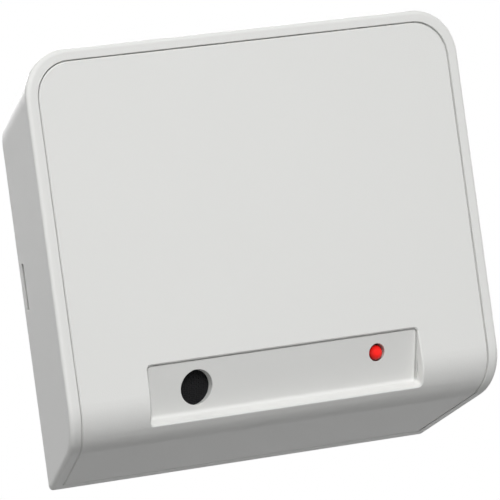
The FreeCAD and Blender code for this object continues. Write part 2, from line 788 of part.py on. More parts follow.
def make_trimmer_rotor():
    """The trimmer's rotor with its cross slot and pointer notch."""
    x, z = on_board(TRIMMER_AT)
    y1 = rotor_base()
    y0 = y1 - ROTOR_T
    half, reach = ROTOR_SLOT_W / 2, ROTOR_CROSS_L / 2
    upright = box(x - half, x + half, y0 - PAST, y0 + ROTOR_SLOT_D, z - reach, z + reach)
    level = box(x - reach, x + reach, y0 - PAST, y0 + ROTOR_SLOT_D, z - half, z + half)
    notch = box(x - half, x + half, y0 - PAST, y0 + ROTOR_NOTCH_D, z, z + ROTOR_R + PAST)
    return rod(x, z, y0, y1, ROTOR_R).cut(fused([upright, level, notch]))


def slider_place(index):
    """Middle of the well of one slider of the mode switch, as (x, z)."""
    x, z = on_board(SWITCH_AT)
    return x, z + (index - (SLIDER_COUNT - 1) / 2) * SWITCH_PITCH


def well_half():
    """Half the length of the well that a slider moves in."""
    return (SLIDER_L + SLIDER_TRAVEL) / 2 + SLIDER_FIT


def switch_pins():
    """Places of the mode switch's pins, a pair for each slider."""
    places = []
    for index in range(SLIDER_COUNT):
        places += pair(*slider_place(index), SWITCH_PIN_STEP)
    return places


def make_switch_body():
    """The mode switch's body with a well for each slider, and its pins."""
    body = standing(SWITCH_AT, SWITCH_W, SLIDER_COUNT * SWITCH_PITCH + 2 * SWITCH_END, SWITCH_TALL)
    front = BOARD_FRONT - SWITCH_TALL
    deep = front + SLIDER_SUNK + SLIDER_FIT
    half_l, half_w = well_half(), SLIDER_W / 2 + SLIDER_FIT
    wells = []
    for index in range(SLIDER_COUNT):
        x, z = slider_place(index)
        wells.append(box(x - half_l, x + half_l, front - PAST, deep, z - half_w, z + half_w))
    return fused([body.cut(Part.makeCompound(wells))] + pins_from(switch_pins(), BOARD_FRONT - PIN_ROOT))


def make_slider(index):
    """One slider, at the left end of its well."""
    x, z = slider_place(index)
    x0 = x - well_half() + SLIDER_FIT
    front, half = BOARD_FRONT - SWITCH_TALL, SLIDER_W / 2
    return box(x0, x0 + SLIDER_L, front - SLIDER_PROUD, front + SLIDER_SUNK, z - half, z + half)


def plunger_tip():
    """Depth of the tamper plunger's tip under the cover's post."""
    return BOARD_FRONT - TAMPER_TALL + PLUNGER_SUNK - PLUNGER_L


def tamper_pins():
    """Places of the tamper switch's pins."""
    x, z = on_board(TAMPER_AT)
    return pair(x, z - TAMPER_PIN_STEP, TAMPER_PIN_STEP) + pair(x, z + TAMPER_PIN_STEP, TAMPER_PIN_STEP)


def make_tamper_body():
    """The tamper switch's body with the bore of its plunger, and its pins."""
    x, z = on_board(TAMPER_AT)
    body = standing(TAMPER_AT, TAMPER_W, TAMPER_W, TAMPER_TALL)
    deep = plunger_tip() + PLUNGER_L + PLUNGER_OVERTRAVEL + PLUNGER_FIT
    bore = rod(x, z, BOARD_FRONT - TAMPER_TALL - PAST, deep, PLUNGER_R + PLUNGER_FIT)
    return fused([body.cut(bore)] + pins_from(tamper_pins(), BOARD_FRONT - PIN_ROOT))


def make_tamper_plunger():
    """The sprung plunger that the closed cover holds down."""
    x, z = on_board(TAMPER_AT)
    return rod(x, z, plunger_tip(), plunger_tip() + PLUNGER_L, PLUNGER_R)


def header_pins():
    """Places of the jumper header's pins."""
    x, z = on_board(JUMPER_AT)
    return [(x, z + (index - (HEADER_PIN_COUNT - 1) / 2) * HEADER_PITCH) for index in range(HEADER_PIN_COUNT)]


def make_jumper_header():
    """The pin header's plastic base with its square pins."""
    base = standing(JUMPER_AT, HEADER_PITCH, HEADER_PITCH * HEADER_PIN_COUNT, HEADER_BASE_T)
    return fused([base] + pins_from(header_pins(), BOARD_FRONT - HEADER_PIN_L))


def make_jumper_cap():
    """The jumper that bridges the two upper pins of the header."""
    (x, z0), (_, z1) = header_pins()[-2:]
    y1 = BOARD_FRONT - HEADER_BASE_T - JUMPER_LIFT
    half = HEADER_PITCH / 2 - JUMPER_FIT
    body = box(x - half, x + half, y1 - JUMPER_T, y1, z0 - half, z1 + half)
    holes = [square_pin(x, z, y1 - BEYOND, y1 + PAST, JUMPER_FIT) for z in (z0, z1)]
    return body.cut(Part.makeCompound(holes))


def lead_holes(y0, y1):
    """The board's holes for every lead and pin that passes through it."""
    leads = mic_leads() + lamp_leads() + capacitor_leads() + crystal_leads()
    pins = terminal_pins() + relay_pins() + trimmer_pins() + switch_pins() + tamper_pins() + header_pins()
    return [square_pin(x, z, y0, y1, PIN_HOLE_FIT) for x, z in leads + pins]


def make_circuit_board():
    """The board: round corners, notches beside the wall screws, screw holes and lead holes."""
    half = board_half()
    board = box(-half, half, BOARD_FRONT, BOARD_BACK, board_low(), board_high())
    board = board.makeFillet(BOARD_CORNER_R, [edge for edge in board.Edges if along_depth(edge)])
    room = SCREW_HEAD_ROOM / 2
    inner = slot_x() - (WALL_SLOT_L - WALL_SLOT_W) / 2 - room
    y0, y1 = BOARD_FRONT - PAST, BOARD_BACK + PAST
    cuts = [box(-half - PAST, -inner, y0, y1, -room, room), box(inner, half + PAST, y0, y1, -room, room)]
    cuts += [rod(x, z, y0, y1, SCREW_HOLE_R) for x, z in board_posts()[0]]
    return board.cut(Part.makeCompound(cuts + lead_holes(y0, y1)))


def make_board_screws():
    """The two pan-head screws that hold the board to the tray."""
    screws = []
    front = BOARD_FRONT - SCREW_HEAD_T
    deep = front + SCREW_CROSS_D
    long, wide = SCREW_CROSS_L / 2, SCREW_CROSS_W / 2
    for x, z in board_posts()[0]:
        head = rod(x, z, front, BOARD_FRONT, SCREW_HEAD_R)
        shank = rod(x, z, BOARD_FRONT, BOARD_FRONT + SCREW_L, SCREW_R)
        upright = box(x - wide, x + wide, front - PAST, deep, z - long, z + long)
        level = box(x - long, x + long, front - PAST, deep, z - wide, z + wide)
        screws.append(fused([head, shank]).cut(fused([upright, level])))
    return Part.makeCompound(screws)


def all_nodes():
    """Every piece of the sensor by name."""
    nodes = {
        "wall_base": make_wall_base(),
        "front_cover": make_front_cover(),
        "circuit_board": make_circuit_board(),
        "board_screws": make_board_screws(),
        "acoustic_gauze": make_acoustic_gauze(),
        "microphone_boot": make_microphone_boot(),
        "microphone_capsule": make_microphone_capsule(),
        "microphone_leads": make_microphone_leads(),
        "status_lamp": make_status_lamp(),
        "lamp_leads": make_lamp_leads(),
        "lamp_spacer": make_lamp_spacer(),
        "terminal_block": make_terminal_block(),
        "terminal_screws": make_terminal_screws(),
        "terminal_clamps": make_terminal_clamps(),
        "alarm_relay": make_relay(),
        "relay_pins": make_relay_pins(),
        "processor_chip": make_chip(PROCESSOR_AT, PROCESSOR_W, PROCESSOR_H, PROCESSOR_T),
        "amplifier_chip": make_chip(AMPLIFIER_AT, AMPLIFIER_W, AMPLIFIER_H, AMPLIFIER_T),
        "chip_leads": make_chip_leads(),
        "supply_capacitor": make_capacitor(),
        "capacitor_leads": make_capacitor_leads(),
        "timing_crystal": make_crystal(),
        "small_parts": make_small_parts(),
        "trimmer_body": make_trimmer_body(),
        "trimmer_rotor": make_trimmer_rotor(),
        "mode_switch_body": make_switch_body(),
        "tamper_switch_body": make_tamper_body(),
        "tamper_plunger": make_tamper_plunger(),
        "jumper_header": make_jumper_header(),
        "jumper_cap": make_jumper_cap(),
    }
    for index in range(SLIDER_COUNT):
        nodes[f"mode_slider_{index + 1}"] = make_slider(index)
    return nodes


os.makedirs("parts", exist_ok=True)
for name, shape in all_nodes().items():
    shape.exportStep(f"parts/{name}.step")
    print(f"{name}: {len(shape.Solids)} solids, {shape.Volume:.1f} mm3, valid {shape.isValid()}")
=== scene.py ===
"""Dressed model of a wall-mounted glass break sensor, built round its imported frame.

Lengths are in metres in the frame of the part: X to the right, Y into the wall, Z up, with the origin in the
middle of the wall face.
"""
from __future__ import annotations

import json
import logging
import math
from abc import ABC, abstractmethod
from collections.abc import Callable
from dataclasses import dataclass, field
from enum import Enum
from functools import cache, cached_property

import bmesh
import bpy
from bmesh.types import BMesh, BMFace, BMVert
from bpy.types import Material, Mesh, Node, NodeOutputs, NodeSocket, NodeTree, Object
from mathutils import Matrix, Vector

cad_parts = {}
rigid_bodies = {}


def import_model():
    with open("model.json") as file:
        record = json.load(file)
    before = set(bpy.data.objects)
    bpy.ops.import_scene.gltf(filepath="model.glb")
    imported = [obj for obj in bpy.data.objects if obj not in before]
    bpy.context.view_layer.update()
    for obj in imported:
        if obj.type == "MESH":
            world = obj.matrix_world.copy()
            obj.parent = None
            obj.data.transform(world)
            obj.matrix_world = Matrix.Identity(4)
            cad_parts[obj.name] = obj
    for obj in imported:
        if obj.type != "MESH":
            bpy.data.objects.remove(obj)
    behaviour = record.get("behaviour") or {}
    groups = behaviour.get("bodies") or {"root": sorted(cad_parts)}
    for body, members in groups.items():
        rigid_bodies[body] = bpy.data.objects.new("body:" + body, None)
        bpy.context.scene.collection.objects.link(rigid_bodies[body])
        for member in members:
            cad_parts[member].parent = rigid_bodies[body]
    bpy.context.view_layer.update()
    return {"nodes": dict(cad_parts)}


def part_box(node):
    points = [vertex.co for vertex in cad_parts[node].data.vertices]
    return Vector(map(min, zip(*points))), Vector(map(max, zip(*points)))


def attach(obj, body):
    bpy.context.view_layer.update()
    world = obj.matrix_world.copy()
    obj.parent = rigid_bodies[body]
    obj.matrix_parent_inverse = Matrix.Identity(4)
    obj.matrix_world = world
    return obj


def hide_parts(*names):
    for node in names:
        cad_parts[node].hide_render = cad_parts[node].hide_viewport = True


LOG = logging.getLogger("glass_break_sensor")
MM = 0.001
# Corners nearer than this are one, in drawn shapes and in pieces of the frame.
MERGE, FRAME_MERGE = 1e-7, 1e-6
SORT_DIGITS = 5
# The pieces of the frame whose leads come through the board.
CLAMPS, RELAY, MICROPHONE, LAMP = "terminal_clamps", "relay_pins", "microphone_leads", "lamp_leads"
CAPACITOR, CRYSTAL, TRIMMER, MODES = "capacitor_leads", "timing_crystal", "trimmer_body", "mode_switch_body"
TAMPER, JUMPER = "tamper_switch_body", "jumper_header"
Colour = tuple[float, float, float]
Point = tuple[float, float, float]
Pair = tuple[float, float]
Route = list[Pair]
Inputs = dict[str | int, object]


class Kind(Enum):
    """The families of finish, each with how metallic it is and how much it mirrors."""

    MOULDED = (0.0, 0.3)
    MATT = (0.0, 0.15)
    LENS = (0.0, 0.2)
    METAL = (1.0, 0.5)


@dataclass
class Wiring:
    """A node tree in the making."""

    tree: NodeTree

    @classmethod
    def group(cls, family: str, name: str, takes: dict[str, str], gives: dict[str, str]) -> Wiring:
        """Starts a node group with named sockets.

        Args:
            family: "Shader" or "Geometry".
            name: the group's name.
            takes: the kind of each input.
            gives: the kind of each output.

        Returns:
            The group's wiring.
        """
        wiring = cls(bpy.data.node_groups.new(name, f"{family}NodeTree"))
        for way, sockets in (("INPUT", takes), ("OUTPUT", gives)):
            for label, kind in sockets.items():
                wiring.tree.interface.new_socket(name=label, in_out=way, socket_type=f"NodeSocket{kind}")
        return wiring

    @cached_property
    def given(self) -> Node:
        """The node that hands over a group's inputs."""
        return self.node("NodeGroupInput")

    @cached_property
    def place(self) -> NodeSocket:
        """The place on the object."""
        return self.node("ShaderNodeTexCoord").outputs["Object"]

    def fill(self, node: Node, inputs: Inputs) -> None:
        """Feeds a node's inputs.

        Args:
            node: the node.
            inputs: what each input gets, by its name or number. That is a value, a socket, a node for its first
                output, or the name of one of the group's inputs.
        """
        for name, value in inputs.items():
            if isinstance(value, str):
                value = self.given.outputs[value]
            elif isinstance(value, Node):
                value = next(out for out in value.outputs if out.enabled)
            if isinstance(value, NodeSocket):
                self.tree.links.new(value, node.inputs[name])
            else:
                node.inputs[name].default_value = value

    def node(self, kind: str, inputs: Inputs | None = None, **settings: object) -> Node:
        """Adds a node.

        Args:
            kind: the node's type.
            inputs: what its inputs get.
            **settings: its own settings.

        Returns:
            The node.
        """
        node = self.tree.nodes.new(kind)
        for name, value in settings.items():
            setattr(node, name, value)
        self.fill(node, inputs or {})
        return node

    def end(self, outputs: Inputs) -> NodeTree:
        """Ends a group with what its outputs get."""
        self.fill(self.node("NodeGroupOutput"), outputs)
        return self.tree

    def use(self, group: NodeTree, inputs: Inputs) -> Node:
        """Places a shared group, which gets the place on the object."""
        return self.node("ShaderNodeGroup", {"Position": self.place, **inputs}, node_tree=group)

    def math(self, operation: str, *values: object) -> Node:
        """Adds a Math node."""
        return self.node("ShaderNodeMath", dict(enumerate(values)), operation=operation)

    def mix(self, factor: object, first: object, second: object) -> Node:
        """Mixes two colours."""
        return self.node("ShaderNodeMix", {"Factor": factor, "A": first, "B": second}, data_type="RGBA")

    def noise(self, scale: str, detail: float) -> tuple[Node, Node]:
        """A noise over a group's position, plain and as a swing to both sides of nought."""
        plain = self.node("ShaderNodeTexNoise", {"Vector": "Position", "Scale": scale, "Detail": detail})
        return plain, self.math("SUBTRACT", plain, 0.5)

    def parts(self, vector: object) -> NodeOutputs:
        """Splits a vector into its X, Y and Z."""
        return self.node("ShaderNodeSeparateXYZ", {"Vector": vector}).outputs

    def reach(self, first: NodeSocket, second: NodeSocket) -> Node:
        """The distance that two distances at right angles make together."""
        return self.math("SQRT", self.math("MULTIPLY_ADD", second, second, self.math("MULTIPLY", first, first)))


class ShaderGroups:
    """The node groups that several materials share, each built once."""

    GLOW_FADE = 1.6
    PATCH_DETAIL = 3.0
    GRAIN_DETAIL = 2.0

    @staticmethod
    @cache
    def tonal_drift() -> NodeTree:
        """The slow drift of tone over a moulding or a casting.

        Returns:
            The group.
        """
        takes = {"Position": "Vector", "Colour": "Color", "Patch": "Float", "Amount": "Float"}
        wiring = Wiring.group("Shader", "tonal_drift", takes, {"Colour": "Color"})
        swing = wiring.noise("Patch", ShaderGroups.PATCH_DETAIL)[1]
        inputs = {0: "Colour", "Scale": wiring.math("MULTIPLY_ADD", swing, "Amount", 1.0)}
        return wiring.end({"Colour": wiring.node("ShaderNodeVectorMath", inputs, operation="SCALE")})

    @staticmethod
    @cache
    def fine_grain() -> NodeTree:
        """The fine grain of a surface: a height and a roughness that follows it.

        Returns:
            The group.
        """
        takes = {"Position": "Vector", "Grain": "Float", "Roughness": "Float", "Spread": "Float"}
        wiring = Wiring.group("Shader", "fine_grain", takes, {"Height": "Float", "Roughness": "Float"})
        height, swing = wiring.noise("Grain", ShaderGroups.GRAIN_DETAIL)
        return wiring.end({"Height": height, "Roughness": wiring.math("MULTIPLY_ADD", swing, "Spread", "Roughness")})

    @staticmethod
    @cache
    def lit_core() -> NodeTree:
        """Light from inside a round lens: full round its axis, and less towards its side.

        Returns:
            The group.
        """
        takes = {"Position": "Vector", "Axis": "Vector", "Radius": "Float", "Core": "Color", "Side": "Color"}
        wiring = Wiring.group("Shader", "lit_core", takes, {"Colour": "Color"})
        split = wiring.parts(wiring.node("ShaderNodeVectorMath", {0: "Position", 1: "Axis"}, operation="SUBTRACT"))
        share = wiring.math("DIVIDE", wiring.reach(split["X"], split["Z"]), "Radius")
        fade = wiring.math("POWER", share, ShaderGroups.GLOW_FADE)
        return wiring.end({"Colour": wiring.mix(fade, "Core", "Side")})

    @staticmethod
    @cache
    def behind() -> NodeTree:
        """A mask of what lies further back than a depth, such as the leads under a body."""
        wiring = Wiring.group("Shader", "behind", {"Position": "Vector", "Depth": "Float"}, {"Mask": "Float"})
        return wiring.end({"Mask": wiring.math("GREATER_THAN", wiring.parts("Position")["Y"], "Depth")})


@dataclass(frozen=True)
class Finish:
    """One finish, made into a material once and then shared."""

    name: str
    colour: Colour
    roughness: float
    grain: float
    relief: float
    drift: float
    patch: float
    coat: float = 0.0
    edge: float = 0.08 * MM
    kind: Kind = Kind.MOULDED
    spread: float = 0.05
    grain_depth: float = 0.1 * MM
    edge_samples: int = 6

    @cache
    def material(self) -> Material:
        """Gives the material of this finish, building it the first time.

        Returns:
            The material.
        """
        material = bpy.data.materials.new(f"dress_{self.name}")
        material.use_nodes = True
        wiring = Wiring(material.node_tree)
        inputs = {"Colour": (*self.colour, 1.0), "Patch": self.patch, "Amount": self.drift}
        drift = wiring.use(ShaderGroups.tonal_drift(), inputs)
        inputs = {"Grain": self.grain, "Roughness": self.roughness, "Spread": self.spread}
        grain = wiring.use(ShaderGroups.fine_grain(), inputs).outputs
        rounded = wiring.node("ShaderNodeBevel", {"Radius": self.edge}, samples=self.edge_samples)
        bump = wiring.node("ShaderNodeBump", {
            "Strength": self.relief, "Distance": self.grain_depth, "Height": grain["Height"], "Normal": rounded,
        })
        metallic, mirror = self.kind.value
        wiring.fill(wiring.tree.nodes["Principled BSDF"], {
            "Base Color": drift, "Roughness": grain["Roughness"], "Normal": bump, "Metallic": metallic,
            "Specular IOR Level": mirror, "Coat Weight": self.coat, **self._extra(wiring, drift),
        })
        return material

    def _extra(self, wiring: Wiring, body: Node) -> Inputs:
        """What only some finishes give the shader."""
        return {}


@dataclass(frozen=True)
class LitFinish(Finish):
    """The finish of a lit lens, which glows round its axis."""

    axis: Point = (0.0, 0.0, 0.0)
    radius: float = 1.45 * MM
    core: Colour = (1.0, 0.02, 0.015)
    side: Colour = (0.0, 0.0, 0.0)
    strength: float = 0.7

    def _extra(self, wiring: Wiring, body: Node) -> Inputs:
        """The glow."""
        inputs = {"Axis": self.axis, "Radius": self.radius, "Core": (*self.core, 1.0), "Side": (*self.side, 1.0)}
        return {"Emission Color": wiring.use(ShaderGroups.lit_core(), inputs), "Emission Strength": self.strength}


@dataclass(frozen=True)
class PinnedFinish(Finish):
    """The finish of a moulded body whose tinned pins stand behind the board's face."""

    board_face: float = -7.59 * MM
    tinned: Colour = (0.72, 0.71, 0.68)

    def _extra(self, wiring: Wiring, body: Node) -> Inputs:
        """Tinned metal in place of the body's colour, behind the board's face."""
        mask = wiring.use(ShaderGroups.behind(), {"Depth": self.board_face})
        return {"Base Color": wiring.mix(mask, body, (*self.tinned, 1.0)), "Metallic": mask}


# Each finish: its name, colour, roughness, grain, relief, drift, patch, coat and edge.
WHITE = Finish("white_moulding", (0.736, 0.738, 0.722), 0.34, 4200.0, 0.22, 0.02, 45.0, 0.0, 0.15 * MM)
GREEN_BOARD = Finish("green_board", (0.02, 0.16, 0.06), 0.3, 900.0, 0.1, 0.25, 300.0, 0.4)
TRACK = Finish("masked_track", (0.035, 0.24, 0.09), 0.3, 900.0, 0.1, 0.15, 300.0, 0.4, 0.02 * MM)
PRINT = Finish("white_print", (0.72, 0.73, 0.68), 0.6, 5000.0, 0.1, 0.1, 900.0, 0.0, 0.01 * MM)
ZINC = Finish("zinc", (0.62, 0.62, 0.6), 0.32, 2600.0, 0.08, 0.1, 400.0, kind=Kind.METAL)
TIN = Finish("tin", (0.72, 0.71, 0.68), 0.28, 3000.0, 0.05, 0.08, 500.0, kind=Kind.METAL)
SOLDER = Finish("solder", (0.66, 0.66, 0.65), 0.22, 2200.0, 0.1, 0.1, 600.0, kind=Kind.METAL)
GAUZE = Finish("black_gauze", (0.025, 0.025, 0.0265), 0.7, 2600.0, 0.1, 0.3, 900.0, kind=Kind.MATT)
FELT = Finish("black_felt", (0.01, 0.01, 0.01), 0.95, 6000.0, 0.6, 0.4, 1200.0, kind=Kind.MATT)
RUBBER = Finish("black_rubber", (0.02, 0.02, 0.02), 0.7, 2500.0, 0.15, 0.2, 300.0, kind=Kind.MATT)
CAN = Finish("drawn_can", (0.7, 0.7, 0.69), 0.3, 2200.0, 0.06, 0.06, 300.0, kind=Kind.METAL)
PALE = Finish("pale_moulding", (0.72, 0.72, 0.68), 0.5, 3000.0, 0.08, 0.05, 200.0)
TERMINAL = Finish("green_moulding", (0.02, 0.2, 0.06), 0.5, 3000.0, 0.1, 0.12, 200.0)
BLACK = Finish("black_moulding", (0.018, 0.018, 0.019), 0.5, 3000.0, 0.12, 0.2, 200.0)
EPOXY = Finish("black_epoxy", (0.016, 0.016, 0.016), 0.6, 4500.0, 0.2, 0.25, 500.0)
SWITCH = PinnedFinish("black_switch", (0.018, 0.018, 0.019), 0.5, 3000.0, 0.12, 0.2, 200.0)
SLEEVE = Finish("sleeve", (0.015, 0.02, 0.07), 0.3, 2500.0, 0.05, 0.1, 200.0, 0.3)
CERAMIC = Finish("ceramic", (0.3, 0.21, 0.12), 0.55, 3500.0, 0.15, 0.3, 700.0)
BLUE = PinnedFinish("blue_moulding", (0.015, 0.05, 0.3), 0.45, 3000.0, 0.08, 0.12, 200.0)
RED = PinnedFinish("red_moulding", (0.42, 0.015, 0.012), 0.4, 3000.0, 0.08, 0.12, 200.0)


class Solids:
    """Meshes of the shapes that the pieces are made of."""

    @staticmethod
    def close(shape: BMesh, name: str, sharp: float = 35.0) -> Mesh:
        """Turns a drawn shape into a finished mesh.

        Args:
            shape: the shape, which is freed.
            name: the mesh's name.
            sharp: the angle in degrees from which an edge stays sharp.

        Returns:
            The mesh, merged, smooth and with its faces outwards.
        """
        bmesh.ops.remove_doubles(shape, verts=shape.verts, dist=MERGE)
        bmesh.ops.recalc_face_normals(shape, faces=shape.faces)
        for face in shape.faces:
            face.smooth = True
        mesh = bpy.data.meshes.new(name)
        shape.to_mesh(mesh)
        shape.free()
        mesh.set_sharp_from_angle(angle=math.radians(sharp))
        return mesh

    @staticmethod
    def circle(radius: float, steps: int, x: float = 0.0, z: float = 0.0) -> Route:
        """The corners of a circle as (x, z)."""
        turns = [math.tau * step / steps for step in range(steps)]
        return [(x + radius * math.cos(turn), z + radius * math.sin(turn)) for turn in turns]

    @staticmethod
    def rectangle(low: Vector, high: Vector, inset: float) -> Route:
        """The corners of a piece's front view as (x, z), drawn in on each side."""
        left, right, bottom, top = low.x + inset, high.x - inset, low.z + inset, high.z - inset
        return [(left, bottom), (right, bottom), (right, top), (left, top)]

    @staticmethod
    def bridge(shape: BMesh, rings: list[list[BMVert]]) -> None:
        """Joins each closed ring of corners to the next one with faces.

        Args:
            shape: the shape that gets the faces.
            rings: the corners of each ring, in the same order round.
        """
        for near, far in zip(rings, rings[1:]):
            for step in range(len(near)):
                after = (step + 1) % len(near)
                shape.faces.new((near[step], near[after], far[after], far[step]))

    @staticmethod
    def lathe(profile: Route, segments: int, x: float = 0.0, z: float = 0.0) -> BMesh:
        """Turns a profile round a line along Y.

        Args:
            profile: (radius, depth) of each point, from the front to the back.
            segments: how many facets go round.
            x: the line's place across.
            z: the line's height.

        Returns:
            The closed shape.
        """
        shape = bmesh.new()
        rings = [
            [shape.verts.new((across, y, up)) for across, up in Solids.circle(radius, segments, x, z)]
            for radius, y in profile
        ]
        Solids.bridge(shape, rings)
        for index in (0, -1):
            if profile[index][0] > 0:
                shape.faces.new(rings[index])
        bmesh.ops.remove_doubles(shape, verts=shape.verts, dist=MERGE)
        return shape

    @staticmethod
    def soft_box(low: Point, high: Point, edge: float) -> BMesh:
        """A block with soft edges.

        Args:
            low: its lowest corner.
            high: its highest corner.
            edge: the radius of its edges.

        Returns:
            The block.
        """
        shape = bmesh.new()
        middle = [(a + b) / 2 for a, b in zip(low, high)]
        size = [b - a for a, b in zip(low, high)]
        bmesh.ops.create_cube(shape, size=1.0, matrix=Matrix.Translation(middle) @ Matrix.Diagonal((*size, 1.0)))
        bmesh.ops.bevel(shape, geom=shape.edges, offset=edge, segments=3, profile=0.5, affect="EDGES")
        return shape

    @staticmethod
    def grooved_disc(
        rings: list[float], segments: int, cuts: list[float], sunk: Callable[[float, float], bool],
        front: float, depth: float, thickness: float,
    ) -> BMesh:
        """A round plate that faces the front, with straight grooves.

        Args:
            rings: radii of its rings, from the inside out.
            segments: how many facets go round.
            cuts: the places of the grooves' walls, used both across and up.
            sunk: tells from a face's middle, as (x, z), whether it lies in a groove.
            front: the depth of its front.
            depth: how deep the grooves are.
            thickness: how thick the plate is behind its front.

        Returns:
            The closed plate.
        """
        shape = Solids.lathe([(0.0, front + depth)] + [(radius, front + depth) for radius in rings], segments)
        backs = [face for face in shape.faces if len(face.verts) > 4]
        bmesh.ops.delete(shape, geom=backs, context="FACES_ONLY")
        for place in cuts:
            for normal in ((1.0, 0.0, 0.0), (0.0, 0.0, 1.0)):
                everything = shape.verts[:] + shape.edges[:] + shape.faces[:]
                bmesh.ops.bisect_plane(shape, geom=everything, plane_co=Vector(normal) * place, plane_no=normal)
        raised = [face for face in shape.faces if not sunk(*face.calc_center_median().xz)]
        lifted = bmesh.ops.extrude_face_region(shape, geom=raised)["geom"]
        bmesh.ops.delete(shape, geom=raised, context="FACES")
        corners = [item for item in lifted if isinstance(item, BMVert)]
        bmesh.ops.translate(shape, verts=corners, vec=(0.0, -depth, 0.0))
        rim = [edge for edge in shape.edges if edge.is_boundary]
        walls = bmesh.ops.extrude_edge_only(shape, edges=rim)["geom"]
        for corner in [item for item in walls if isinstance(item, BMVert)]:
            corner.co.y = front + thickness
        bmesh.ops.holes_fill(shape, edges=[edge for edge in shape.edges if edge.is_boundary])
        return shape


